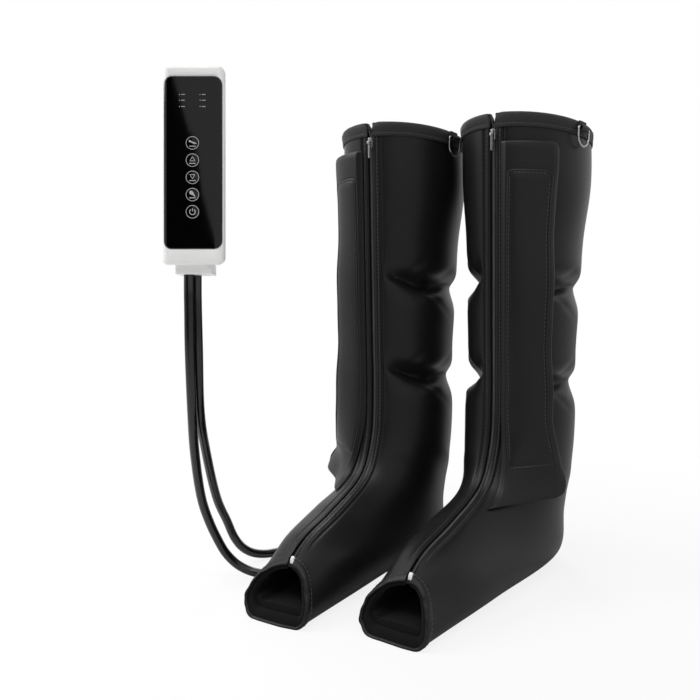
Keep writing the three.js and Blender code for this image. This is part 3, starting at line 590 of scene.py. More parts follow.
@dataclass(frozen=True)
class Finish:
    """One finish of the massager, from its colour to its fine surface."""

    name: str
    slot: str
    colour: Triple
    second: Triple
    roughness: float
    texture: Texture
    scale: float
    relief: float
    gloss_change: float = 0.08
    specular: float = 0.5
    metallic: float = 0.0
    coat: float = 0.0
    sheen: float = 0.0
    follows_pattern: bool = False

    def material(self) -> bpy.types.Material:
        """The finish as a material, built at its first use."""
        found = bpy.data.materials.get(self.name)
        if found:
            return found
        material = bpy.data.materials.new(self.name)
        tree = NodeTree.of(material)
        place = tree.add("TexCoord")["Object"]
        pattern = tree.add("UVMap", uv_map=PATTERN_MAP)["UV"] if self.follows_pattern else place
        group = NodeGroup.fine(self.texture)
        fine = tree.add("Group", {"Vector": pattern, "Scale": self.scale}, node_tree=group)
        tone = tree.add("Group", {
            "Vector": place, "Mask": fine["Mask"], "Colour": (*self.colour, 1),
            "Second Colour": (*self.second, 1), "Roughness": self.roughness,
            "Gloss Change": self.gloss_change,
        }, node_tree=NodeGroup.tone())
        bump = tree.add("Bump", {"Distance": self.relief * MM, "Height": fine["Height"]})
        tree.feed("Principled BSDF", {
            "Base Color": tone["Colour"], "Roughness": tone["Roughness"], "Normal": bump["Normal"],
            "Specular IOR Level": self.specular, "Metallic": self.metallic, "Coat Weight": self.coat,
            "Sheen Weight": self.sheen,
        })
        return material


LEATHER = Finish(
    "coated_leather", "boot_cover", (0.0055, 0.0055, 0.0062), (0.011, 0.011, 0.012), 0.4,
    Texture.GRAIN, 900.0, 0.05, specular=0.2,
)
FLAP_LEATHER = Finish(
    "flap_leather", "boot_cover", (0.0065, 0.0065, 0.007), (0.0125, 0.0125, 0.0135), 0.42,
    Texture.GRAIN, 800.0, 0.06, specular=0.21,
)
LINING = Finish(
    "brushed_lining", "boot_lining", (0.0035, 0.0035, 0.004), (0.007, 0.007, 0.0075), 0.85,
    Texture.FUZZ, 1500.0, 0.12, specular=0.1, sheen=0.04,
)
BINDING = Finish(
    "cuff_webbing", "binding", (0.015, 0.015, 0.016), (0.03, 0.03, 0.032), 0.55,
    Texture.WEAVE, 700.0, 0.15, specular=0.25, follows_pattern=True,
)
TAPE = Finish(
    "zip_cloth", "zip_tape", (0.008, 0.008, 0.009), (0.02, 0.02, 0.021), 0.7,
    Texture.WEAVE, 1100.0, 0.12, specular=0.25, follows_pattern=True,
)
COIL = Finish(
    "nylon_coil", "zip_teeth", (0.09, 0.09, 0.092), (0.16, 0.16, 0.163), 0.35,
    Texture.MOULDED, 1200.0, 0.02,
)
THREAD = Finish(
    "sewing_thread", "binding", (0.055, 0.055, 0.057), (0.085, 0.085, 0.088), 0.6,
    Texture.BRUSHED, 6000.0, 0.05,
)
HOOKS = Finish(
    "hook_and_loop_cloth", "hook_and_loop", (0.009, 0.009, 0.0095), (0.02, 0.02, 0.02), 0.9,
    Texture.FUZZ, 900.0, 0.5, specular=0.2,
)
FILM = Finish(
    "air_chamber_film", "air_chamber", (0.17, 0.19, 0.2), (0.24, 0.26, 0.27), 0.35,
    Texture.MOULDED, 500.0, 0.1,
)
DARK_METAL = Finish(
    "smoked_chrome", "dark_metal", (0.3, 0.3, 0.31), (0.42, 0.42, 0.43), 0.24,
    Texture.BRUSHED, 2500.0, 0.01, metallic=1.0,
)
WHITE_PLASTIC = Finish(
    "white_plastic", "white_plastic", (0.8, 0.805, 0.815), (0.85, 0.855, 0.86), 0.36,
    Texture.MOULDED, 2500.0, 0.012, gloss_change=0.06,
)
GLOSS_FACE = Finish(
    "gloss_face", "face_gloss", (0.0012, 0.0012, 0.0013), (0.002, 0.002, 0.0021), 0.06,
    Texture.MOULDED, 400.0, 0.0008, gloss_change=0.02, specular=0.28,
)
PRINT = Finish(
    "pale_print", "face_gloss", (0.42, 0.42, 0.43), (0.5, 0.5, 0.51), 0.5,
    Texture.MOULDED, 3000.0, 0.005,
)
HOSE_SKIN = Finish(
    "gloss_hose", "hose", (0.0045, 0.0045, 0.005), (0.009, 0.009, 0.0095), 0.2,
    Texture.MOULDED, 900.0, 0.02, specular=0.45, gloss_change=0.1,
)
FITTING = Finish(
    "black_nylon", "air_fitting", (0.008, 0.008, 0.008), (0.014, 0.014, 0.015), 0.42,
    Texture.MOULDED, 1500.0, 0.03,
)
BOARD = Finish(
    "green_board", "board", (0.012, 0.075, 0.03), (0.2, 0.16, 0.05), 0.4,
    Texture.TRACES, 160.0, 0.05,
)
CELL_WRAP = Finish(
    "cell_wrap", "cell_wrap", (0.03, 0.05, 0.2), (0.05, 0.08, 0.26), 0.35,
    Texture.MOULDED, 300.0, 0.1, coat=0.3,
)
PUMP_METAL = Finish(
    "pump_metal", "pump_metal", (0.45, 0.45, 0.46), (0.55, 0.55, 0.56), 0.32,
    Texture.BRUSHED, 900.0, 0.03, metallic=1.0,
)
VALVE = Finish(
    "valve_body", "valve_body", (0.3, 0.3, 0.31), (0.38, 0.38, 0.39), 0.4,
    Texture.BRUSHED, 1200.0, 0.03, metallic=0.8,
)
KEYPAD_RUBBER = Finish(
    "keypad_rubber", "keypad_rubber", (0.22, 0.22, 0.22), (0.27, 0.27, 0.27), 0.75,
    Texture.FUZZ, 2500.0, 0.03,
)
RING_WEBBING = Finish(
    "ring_webbing", "binding", (0.014, 0.014, 0.015), (0.03, 0.03, 0.032), 0.6,
    Texture.FUZZ, 1300.0, 0.12, specular=0.3,
)
CARRIED_OVER = {
    "main_board": BOARD,
    "battery_pack": CELL_WRAP,
    "air_pump": PUMP_METAL,
    "air_valve_left": VALVE,
    "air_valve_right": VALVE,
    "keypad": KEYPAD_RUBBER,
}


def place_object(name: str, data: Any) -> Object:
    """New object in the scene.

    Args:
        name: Name of the object.
        data: Its mesh, curve, lamp or camera.

    Returns:
        The object.
    """
    made = bpy.data.objects.new(name, data)
    bpy.context.scene.collection.objects.link(made)
    return made


def new_mesh(name: str, surface: Surface) -> bpy.types.Mesh:
    """Mesh of a surface, with its faces turned outwards.

    Args:
        name: Name of the mesh.
        surface: Its points and faces.

    Returns:
        The mesh.
    """
    mesh = bpy.data.meshes.new(name)
    faces = [face for block in surface.faces for face in block.tolist()]
    mesh.from_pydata((surface.points * MM).tolist(), [], faces)
    shell = bmesh.new()
    shell.from_mesh(mesh)
    bmesh.ops.recalc_face_normals(shell, faces=shell.faces)
    shell.to_mesh(mesh)
    shell.free()
    return mesh


def smooth_but(mesh: bpy.types.Mesh, sharp_degrees: float) -> None:
    """Shades a mesh smooth but for the edges that turn by more than an angle."""
    mesh.shade_smooth()
    mesh.set_sharp_from_angle(angle=math.radians(sharp_degrees))


def add_piece(
    name: str, surface: Surface, finish: Finish, body: str, replaces: Sequence[str] = (),
    sharp_degrees: float = 40.0,
) -> Object:
    """Makes one piece of the massager and sets it on its body.

    Args:
        name: Name of the piece.
        surface: Its points and faces.
        finish: Its finish.
        body: Body that it rides on, or nothing for a piece that rides on none.
        replaces: Solids that the piece stands for.
        sharp_degrees: Edges that turn by more stay sharp.

    Returns:
        The new object.
    """
    mesh = new_mesh(name, surface)
    if surface.pattern is not None:
        corners = np.zeros(len(mesh.loops), int)
        mesh.loops.foreach_get("vertex_index", corners)
        layer = mesh.uv_layers.new(name=PATTERN_MAP)
        layer.data.foreach_set("uv", surface.pattern[corners].ravel())
    smooth_but(mesh, sharp_degrees)
    piece = place_object(name, mesh)
    mesh.materials.append(finish.material())
    if replaces:
        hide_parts(*replaces)
    if body:
        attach(piece, body)
    log.info("%s: %d points, %s", name, len(mesh.vertices), finish.name)
    return piece


@dataclass
class BootForm:
    """Shape of a boot's wall, as rings from the cuff, place 0, to the toe, place 10."""

    cuff_front: Pair = (-78, 509)
    calf_foot_front: Pair = (-67, 206)
    calf_back_reaches: tuple[float, ...] = (92, 96, 88.5, 86, 79, 74)
    cuff_back_height: float = 495
    calf_foot_back_height: float = 190
    foot_front: tuple[Pair, ...] = (
        (-71, 153), (-95, 111), (-151.5, 86), (-205, 69), (-238, 52),
    )
    foot_back: tuple[Pair, ...] = ((67, 125), (57, 60), (46, 4), (-115, -3), (-267.5, -3))
    half_widths: tuple[float, ...] = (68.5, 68.5, 62, 60.5, 58, 61, 60, 54, 52, 46.5, 42)
    front_rounds: tuple[float, ...] = (1, 1, 1, 1, 1, 1, 1, 1.05, 1.07, 1, 1.1)
    full_rounds: tuple[float, ...] = (1, 1, 1, 1, 1, 1, 1, 1.05, 0.65, 0.7, 1.1)
    back_rounds: tuple[float, ...] = (1, 1, 1, 1, 1, 1, 0.95, 0.8, 0.65, 0.68, 0.7)
    shifts: tuple[float, ...] = (0, 0, 0, 0, 0, 0, 0, 0, -1.3, -2.4, 0)
    crease_heights: tuple[float, ...] = (326, 219)
    crease_depth: float = 8
    crease_reach_above: float = 11
    crease_reach_below: float = 17
    fold_depth: float = 8.5
    fold_swell: float = 1.8
    fold_reach_above: float = 13
    fold_reach_below: float = 4.5
    lip_slump: float = 13
    slump_length: float = 1.1
    lines: Array = field(init=False)
    toe: float = field(init=False)
    calf_pitch: float = field(init=False)

    def __post_init__(self) -> None:
        """Works out the lines that the rings run between."""
        last = len(self.calf_back_reaches) - 1
        share = np.arange(last + 1) / last
        calf_front = np.outer(1 - share, self.cuff_front) + np.outer(share, self.calf_foot_front)
        back_height = self.cuff_back_height + share * (self.calf_foot_back_height - self.cuff_back_height)
        front = np.concatenate([calf_front, self.foot_front])
        back = np.concatenate([np.stack([self.calf_back_reaches, back_height], -1), self.foot_back])
        rounds = [self.front_rounds, self.full_rounds, self.back_rounds]
        sides = np.array([self.half_widths, *rounds, self.shifts])
        self.lines = np.concatenate([front.T, back.T, sides])
        self.toe = float(len(self.half_widths) - 1)
        self.calf_pitch = (self.cuff_front[1] - self.calf_foot_front[1]) / last

    def read(self, place: Array) -> Array:
        """Front, back, half width and roundness at a place.

        Args:
            place: Places in stations.

        Returns:
            Nine rows: front Y and Z, back Y and Z, half width, roundness of the front towards +X,
            of the front towards -X and of the back, and shift to the side.
        """
        last = self.lines.shape[1] - 1
        start = np.clip(np.floor(place).astype(int), 0, last - 1)
        part = place - start
        b, c = self.lines[:, start], self.lines[:, start + 1]
        a = np.where(start == 0, 2 * b - c, self.lines[:, np.maximum(start - 1, 0)])
        d = np.where(start == last - 1, 2 * c - b, self.lines[:, np.minimum(start + 2, last)])
        bend = 2 * a - 5 * b + 4 * c - d + part * (3 * (b - c) + d - a)
        return b + 0.5 * part * (c - a + part * bend)

    def crease_inset(self, height: Array, angle: Array) -> Array:
        """How deep the wall is drawn in between two air chambers.

        Args:
            height: Height of the ring's middle.
            angle: Angle from the zip.

        Returns:
            Depth in millimetres.
        """
        turn = np.abs(half_turn(angle))
        away = smoothstep(np.sin(turn / 2), 0.1, 0.38)
        beside_zip = smoothstep(turn, math.radians(12), math.radians(24))
        ending = 1 - smoothstep(turn, math.radians(75), math.radians(125))
        front = beside_zip * ending
        side = smoothstep(turn, math.radians(48), math.radians(62)) * ending
        wave = np.cos(2 * math.pi * (np.minimum(turn, math.radians(112)) - 0.21) / 1.75)
        depth = np.zeros(np.broadcast_shapes(np.shape(height), np.shape(angle)))
        for middle in self.crease_heights:
            offset = height - middle
            reach = np.where(offset > 0, self.crease_reach_above, self.crease_reach_below)
            depth = depth + self.crease_depth * away * np.exp(-((offset / reach) ** 2))
            fold = offset - 5.5 * wave
            fold_reach = np.where(fold > 0, self.fold_reach_above, self.fold_reach_below)
            depth = depth + self.fold_depth * front * np.exp(-((np.abs(fold) / fold_reach) ** 1.5))
            depth = depth - self.fold_swell * side * np.exp(-(((fold + 12) / 6) ** 2))
        return depth

    def side_share(self, angle: Array, front_round: Array, back_round: Array) -> Array:
        """How far out the side lies at an angle, as a share of the half width.

        Args:
            angle: Angle from the zip.
            front_round: Roundness of the front.
            back_round: Roundness of the back.

        Returns:
            Signed share, positive towards +X.
        """
        widest = front_round / (front_round + back_round)
        peak = np.sqrt(widest) ** front_round * np.sqrt(1 - widest) ** back_round
        rise, fall = np.abs(np.sin(angle / 2)), np.abs(np.cos(angle / 2))
        return np.sign(np.sin(angle)) * rise**front_round * fall**back_round / peak

    def point(self, place: Array, angle: Array, inset: Array = 0.0, creased: bool = True) -> Array:
        """Points of the boot, before it is set in its place.

        Args:
            place: Places in stations.
            angle: Angles about the ring, 0 at the zip.
            inset: Distance inwards from the cover's outer face.
            creased: True to follow the creases between the air chambers.

        Returns:
            Points with X, Y and Z on the last axis.
        """
        place, angle, inset = np.broadcast_arrays(
            np.asarray(place, float), np.asarray(angle, float), np.asarray(inset, float)
        )
        front_y, front_z, back_y, back_z, half, front_round, full_round, back_round, shift = self.read(place)
        front_round = np.where(np.sin(angle) < 0, full_round, front_round)
        middle_y, middle_z = (front_y + back_y) / 2, (front_z + back_z) / 2
        half_depth = np.hypot(front_y - middle_y, front_z - middle_z)
        drawn = inset + (self.crease_inset(middle_z, angle) if creased else 0)
        along = (half_depth - drawn) / half_depth * np.cos(angle)
        x = (half - drawn) * self.side_share(angle, front_round, back_round) + shift
        z = middle_z + (front_z - middle_z) * along
        near = smoothstep(place, self.toe - self.slump_length, self.toe)
        side = np.maximum(np.sin(angle), 0)
        slump = self.lip_slump * near * side**2 * np.sqrt(np.abs(np.cos(angle / 2)))
        y = middle_y + (front_y - middle_y) * along
        return np.stack([x - slump, y, np.maximum(z, np.maximum(inset, 0))], -1)

    def angle_at_side(self, place: Array, distance: Array) -> Array:
        """Angle at which the cover lies a distance to the side of the zip.

        Args:
            place: Places in stations.
            distance: Signed distances in millimetres.

        Returns:
            The angles.
        """
        place, distance = np.broadcast_arrays(np.asarray(place, float), np.asarray(distance, float))
        side, zip_x = np.sign(distance), self.point(place, 0.0, 0, False)[..., 0]
        low, high = np.zeros(place.shape), np.full(place.shape, math.pi / 2)
        for _ in range(30):
            middle = (low + high) / 2
            reach = side * (self.point(place, side * middle, 0, False)[..., 0] - zip_x)
            beyond = reach > np.abs(distance)
            low, high = np.where(beyond, low, middle), np.where(beyond, middle, high)
        return side * (low + high) / 2

    def before_toe(self, distance: Array, angle: Array) -> Array:
        """Place that lies a number of millimetres before the toe end.

        Args:
            distance: Millimetres from the toe end.
            angle: Angles from the zip.

        Returns:
            The places.
        """
        step = 0.02
        near = self.point(self.toe - step, angle, 0, False)
        end = self.point(self.toe, angle, 0, False)
        return self.toe - np.asarray(distance) * step / np.linalg.norm(near - end, axis=-1)

    def at_drop(self, drop: Array) -> Array:
        """Place that lies a number of millimetres below the cuff's front."""
        return np.asarray(drop, float) / self.calf_pitch

    def at_height(self, height: float, angle: float) -> float:
        """Place where the uncreased wall has a height at an angle.

        Args:
            height: Height above the ground.
            angle: Angle from the zip.

        Returns:
            The place.
        """
        low, high = 0.0, self.toe
        for _ in range(40):
            middle = (low + high) / 2
            if self.point(middle, angle, 0, False)[2] < height:
                high = middle
            else:
                low = middle
        return (low + high) / 2

    def cover_frame(self, place: float, angle: float) -> Frame:
        """Origin and directions at a point of the cover: round the boot, down it, and out.

        Args:
            place: Place in stations.
            angle: Angle from the zip.

        Returns:
            The origin and three unit vectors.
        """
        step = 0.02
        origin = self.point(place, angle, 0, False)
        round_way = unit(origin - self.point(place, angle + step, 0, False))
        out = unit(np.cross(round_way, self.point(place + step, angle, 0, False) - origin))
        return origin, round_way, np.cross(out, round_way), out


@dataclass
class Boot:
    """One boot: soft wall, air chambers, zip, flap, hanging ring and air port."""

    prefix: str
    side: int
    form: BootForm = field(default_factory=BootForm)
    middle: Pair = (7.76, 116)
    spacing: float = 143.5
    stagger: float = 27.6
    toe_in: float = 2.84
    cover_thickness: float = 2.4
    bladder_thickness: float = 3.6
    lining_thickness: float = 2
    insole_thickness: float = 4
    binding_height: float = 15
    binding_thickness: float = 1.2
    toe_lip_length: float = 9
    toe_lip_swell: float = 0.8
    zip_gap: float = 3.4
    tape_half_width: float = 9.5
    tape_thickness: float = 0.8
    teeth_thickness: float = 2
    placket_width: float = 10.3
    coil_pitch: float = 2
    slider_drop: float = 22
    flap_top_drop: float = 30
    flap_split_drop: float = 336
    flap_front_offset: float = 9.5
    flap_back_angle: float = 53
    flap_foot_places: Pair = (7.5, 6.85)
    flap_foot_front_offset: float = 19
    flap_foot_back_angle: float = 76
    flap_foot_length: float = 92
    flap_width: float = 52
    flap_thickness: float = 2
    strip_thickness: float = 1
    strip_end_margin: float = 25
    flap_edge_lift: float = 1.2
    flap_top_stand_off: float = 5
    flap_full_stand_off: float = 14
    flap_full_place: float = 4
    corner_curl: float = 5
    ring_angle: float = 80
    ring_width: float = 25
    ring_height: float = 20.5
    ring_wire: float = 2.4
    tab_width: float = 14
    tab_thickness: float = 1.1
    tab_tail: float = 4
    port_height: float = 96
    port_angle: float = 215
    port_reach: float = 17.8
    # Sewn and free side of the flap's stitched panel as shares, and its ends down the flap
    panel_sides: Pair = (0.15, 0.88)
    panel_ends: Pair = (31.0, 352.0)
    panel_corner: float = 5.0
    flap_corner_radius: float = 7.0
    # Places where the flap's bend to the boot would end and start
    bend_places: Pair = (5.9, 4.3)
    placket_seam_inset: float = 2.4
    coil_wire: float = 0.34
    coil_swing: float = 0.85
    # How far each half of the zip lies from its middle, closed and open
    closed_gap: float = 0.04
    open_gap: float = 2.9
    stop_ends: Pair = (9.3, 5.3)
    stop_half_width: float = 2.2
    slider_plate: float = 1.5
    axis_height: float = 2.05
    # First and last place of each block of rows, and its number of rows
    row_blocks: tuple[tuple[float, float, int], ...] = (
        (0.005, 2.4, 30), (2.4, 3.6, 44), (3.6, 4.2, 10), (4.2, 5.4, 44), (5.4, 9.0, 60), (9.0, 10.0, 20),
    )
    # Start, lean and reach of the drag lines beside a crease
    drag_lines: tuple[Triple, ...] = (
        (0.5, 26, 0.1), (0.85, -20, 0.12), (1.25, 24, 0.12), (2.2, -22, 0.14),
    )

    @property
    def bladder_inset(self) -> float:
        """Inset of the air chambers' outer face."""
        return self.cover_thickness + SEAT_GAP

    @property
    def lining_inset(self) -> float:
        """Inset of the lining's outer face."""
        return self.bladder_inset + self.bladder_thickness + SEAT_GAP

    @property
    def insole_inset(self) -> float:
        """Inset of the insole's lower face."""
        return self.lining_inset + self.lining_thickness + SEAT_GAP

    @property
    def tape_inset(self) -> float:
        """Inset of the zip tape's outer face."""
        return self.cover_thickness + 4 * SEAT_GAP

    @property
    def wall_end(self) -> float:
        """Distance of the wall's last row from the toe end."""
        return self.toe_lip_length + 2.5 * SEAT_GAP

    def world(self, points: Array) -> Array:
        """Points of the boot set in the boot's place.

        Args:
            points: Points about the boot's own origin.

        Returns:
            Points in the frame.
        """
        east = self.middle[0] + self.side * self.spacing / 2 + FOOTPRINT_SHIFT[0]
        north = self.middle[1] + self.side * self.stagger / 2 + FOOTPRINT_SHIFT[1]
        return turned(points, -self.side * self.toe_in) + [east, north, 0]

    def add(
        self, name: str, surface: Surface, finish: Finish, replaces: Sequence[str] = (), **more: Any
    ) -> Object:
        """Adds a piece of this boot.

        Args:
            name: Name without the boot's prefix.
            surface: Its surface about the boot's origin.
            finish: Its finish.
            replaces: Names of its solids, without the prefix.
            more: Body or sharp angle.

        Returns:
            The new object.
        """
        solids = [f"{self.prefix}_{solid}" for solid in replaces]
        body = more.pop("body", "base")
        return add_piece(f"{self.prefix}_{name}", surface.moved(self.world), finish, body, solids, **more)

    def wall_rows(self) -> Array:
        """Places of the rows of the soft wall, close together at the creases."""
        blocks = [np.linspace(a, b, count, endpoint=False) for a, b, count in self.row_blocks]
        return np.concatenate([*blocks, [self.form.toe]])

    def around(self, places: Array, edges: Sequence[float], columns: int) -> Array:
        """Angles all round the boot from one side of the zip to the other.

        Args:
            places: Places of the rows, as a column.
            edges: Distances from the zip of the columns by it.
            columns: Number of even columns behind them.

        Returns:
            The angles of each row.
        """
        near = self.form.angle_at_side(places, np.array(edges)[None, :])
        far = 2 * math.pi + self.form.angle_at_side(places, -np.array(edges)[None, ::-1])
        share = np.linspace(0, 1, columns + 2)[None, 1:-1]
        return np.concatenate([near, near[:, -1:] + share * (far[:, :1] - near[:, -1:]), far], 1)

    def wall_grid(self, edges: Sequence[float], columns: int) -> tuple[Array, Array]:
        """Places and angles of the wall's grid.

        Args:
            edges: Distances from the zip of the columns by it.
            columns: Number of even columns behind them.

        Returns:
            Places and angles, both as rows and columns.
        """
        rows = self.wall_rows()[:, None]
        angles = self.around(rows, edges, columns)
        end = self.form.before_toe(self.wall_end, angles)
        stretch = np.clip(rows - 9.0, 0, 1)
        places = np.where(rows > 9.0, 9.0 + stretch * (end - 9.0), rows)
        return places, angles

    def placket_relief(self, angles: Array, places: Array) -> Array:
        """Raised band beside the zip, with the sewn groove behind it.

        Args:
            angles: Angles from the zip.
            places: Places in stations.

        Returns:
            Height above the plain cover in millimetres.
        """
        zip_x = self.form.point(places, 0.0, 0, False)[..., 0]
        distance = np.abs(self.form.point(places, angles, 0, False)[..., 0] - zip_x)
        facing = np.cos(angles) > 0
        fade = 1 - smoothstep(places, 8.6, 9.6)
        band = 0.7 * smoothstep(distance, self.zip_gap, self.zip_gap + 1.2)
        band = band * (1 - smoothstep(distance, self.placket_width - 1.2, self.placket_width))
        groove = -1.5 * bell(distance, self.placket_width + 0.5, 1.3)
        stitched = -0.45 * bell(distance, self.placket_width - self.placket_seam_inset, 0.55)
        return np.where(facing, (band + groove + stitched) * fade, 0.0)

    def chamber_relief(self, places: Array, angles: Array) -> Array:
        """Soft swell and drag lines of the filled wall.

        Args:
            places: Places in stations.
            angles: Angles from the zip.

        Returns:
            Height above the plain cover in millimetres.
        """
        turn = np.abs(half_turn(angles))
        lines = self.form.read(places)
        height = (lines[1] + lines[3]) / 2
        away = smoothstep(turn, 0.3, 0.7)
        relief = np.zeros(places.shape)
        for middle in self.form.crease_heights:
            for start, lean, reach in self.drag_lines:
                offset = height - middle
                line = turn - start - offset / (lean * 2.2)
                fade = np.exp(-((offset - lean * 0.7) / 17) ** 2)
                relief = relief - 0.9 * fade * np.exp(-((line / reach) ** 2))
        broad = 0.8 * np.sin(3.1 * turn + places * 1.3) * np.sin(places * 2.1 + turn)
        calf = 1 - smoothstep(places, 5.6, 6.6)
        ankle = bell(height, 118, 14) * np.sin(turn * 5 + height / 9)
        return away * (relief * calf + 0.5 * broad) - 0.8 * ankle * away

    def build_wall(self) -> None:
        """Makes the cover, the lining and the air chambers between them."""
        edges = (3, 3.2, 3.7, 4.6, 5.8, 6.9, 7.5, 7.9, 8.3, 8.9, 9.4, 9.9, 10.4, 10.9, 11.5, 12.4, 14, 17, 21)
        places, angles = self.wall_grid(edges, 104)
        flat_sole = smoothstep(self.form.point(places, angles, 0, False)[..., 2], 1.5, 12)
        relief = self.placket_relief(angles, places)
        relief = relief + self.chamber_relief(places, angles) * (1 - self.under_flap(places, angles))
        relief = relief * flat_sole
        outer = self.form.point(places, angles, -relief)
        inner = self.form.point(places, angles, self.cover_thickness)
        down, across = places * self.form.calf_pitch, angles * 60
        cover = self.add("cover_shell", wall(outer, inner, (down, across)), LEATHER, ["cover"])
        places, angles = self.wall_grid((15.5, 19), 58)
        outer = self.form.point(places, angles, self.lining_inset)
        inner = self.form.point(places, angles, self.lining_inset + self.lining_thickness)
        self.add("lining_sheet", wall(outer, inner), LINING, ["lining"])
        creases = [self.crease_place(height) for height in self.form.crease_heights]
        chambers = {
            "upper": (0.5, creases[0] - 0.3),
            "middle": (creases[0] + 0.45, creases[1] - 0.3),
            "lower": (creases[1] + 0.45, 7.0),
            "foot": (7.35, 9.1),
        }
        for name, (top, foot) in chambers.items():
            self.build_chamber(name, top, foot)

    def crease_place(self, height: float) -> float:
        """Place where the ring's middle has the height of a crease.

        Args:
            height: Height of the crease.

        Returns:
            The place.
        """
        places = np.linspace(0, 6, 1201)
        lines = self.form.read(places)
        return float(places[np.argmin(np.abs((lines[1] + lines[3]) / 2 - height))])

    def build_chamber(self, name: str, top: float, foot: float) -> None:
        """Makes one air chamber, a pillow with welded edges and rows of welds.

        Args:
            name: Name of the chamber.
            top: Place of its upper edge.
            foot: Place of its lower edge.
        """
        rows, columns = 26, 64
        down = np.linspace(0, 1, rows)[:, None]
        places = np.broadcast_to(top + down * (foot - top), (rows, columns))
        edge = self.form.angle_at_side(places[:, :1], np.array([[16.0]]))
        across = np.linspace(0, 1, columns)[None, :]
        angles = edge + across * (2 * math.pi - 2 * edge)
        rim = np.minimum(np.minimum(down, 1 - down) * rows / 3, np.minimum(across, 1 - across) * columns / 3)
        fill = np.sqrt(np.clip(rim, 0.02, 1)) * (1 - 0.7 * bell(np.mod(across * 8 + 0.5, 1), 0.5, 0.05))
        half = self.bladder_thickness / 2
        middle = self.bladder_inset + half
        outer = self.form.point(places, angles, middle - half * fill)
        inner = self.form.point(places, angles, middle + half * fill)
        chamber = self.add(f"chamber_{name}", wall(outer, inner), FILM, [f"bladder_{name}"])

    def build_insole(self) -> None:
        """Makes the padded insole, which shows through the toe opening."""
        rows, columns = 40, 40
        top, foot = 8.3, self.form.before_toe(self.wall_end, math.pi)
        place = np.linspace(top, float(foot), rows)[:, None]
        across = np.linspace(-1, 1, columns)[None, :]
        angles = math.pi + across * math.radians(66)
        places = np.broadcast_to(place, (rows, columns))
        crown = (1 - across**2) * 1.6 + 0.5 * np.cos(across * math.pi * 1.5)
        edge = np.clip((1 - np.abs(across)) * 8, 0.15, 1) * np.clip((place - top) * 8, 0.2, 1)
        lower = self.form.point(places, angles, self.insole_inset)
        upper = self.form.point(places, angles, self.insole_inset + self.insole_thickness * edge + crown)
        insole = self.add("insole_pad", wall(lower, upper), LINING, ["insole"])

    def build_edges(self) -> None:
        """Makes the cuff's binding and the rolled lip of the toe opening."""
        edges = (3.1, 3.5, 4.1, 4.9, 6.1, 8, 11, 15, 19, 24)
        _, angles = self.wall_grid(edges, 100)
        angles = angles[0]
        distance = np.abs(self.form.point(np.zeros(angles.shape), angles, 0, False)[:, 0])
        near_zip = np.where(np.cos(angles) > 0, np.clip(1 - (distance - self.zip_gap) / 6, 0, 1), 0)
        corner = 5.5 * (1 - np.sqrt(1 - near_zip**2))
        turn = np.abs(half_turn(angles))
        pucker = 0.22 * np.sin(angles * 47) + 0.15 * np.sin(angles * 83 + 1)
        foot = self.form.at_drop(self.binding_height)
        out, back = -SEAT_GAP, self.insole_inset
        thick = self.binding_thickness
        profile = [
            (15, out), (15, out - thick * 0.6), (14.2, out - thick), (12.6, out - thick),
            (11.6, out - 0.75 * thick), (10.6, out - thick), (8, out - thick - 0.5), (5, out - thick - 0.8),
            (2, out - thick - 0.5), (0.2, out - 0.5), (-0.9, 1.2), (-1.4, 3.4), (-1.2, 6), (-0.4, back + 0.4),
            (1.5, back + thick), (5, back + thick + 0.3), (14, back + thick), (15, back + 0.6 * thick),
            (15, back), (1.2, back), (0.5, back - 0.8), (0.5, 0.6), (1.2, out),
        ]
        rings = []
        for drop, inset in profile:
            shift = corner * (1 - drop / self.binding_height) if drop < self.binding_height else 0
            place = self.form.at_drop(drop + shift)
            is_outside = inset < out - 0.1
            swell = pucker * bell(drop, 5, 6) * smoothstep(turn, 0.2, 0.5) if is_outside else 0
            rings.append(self.form.point(np.full(angles.shape, place), angles, inset - swell))
        grid = np.stack(rings, 1)
        surface = loft(list(grid))
        across = np.repeat(angles * 66, grid.shape[1])
        around = np.tile(np.cumsum([0, *np.hypot(*np.diff(np.array(profile), axis=0).T)]), len(angles))
        surface.pattern = np.stack([across, around], -1) * MM
        self.add("cuff_webbing", surface, BINDING, ["cuff_binding"], sharp_degrees=60)
        stitch_place = foot - self.form.at_drop(3.4)
        self.seam("cuff_stitching", np.full(angles.shape, stitch_place), angles, thick + 0.28)
        self.build_toe_lip()

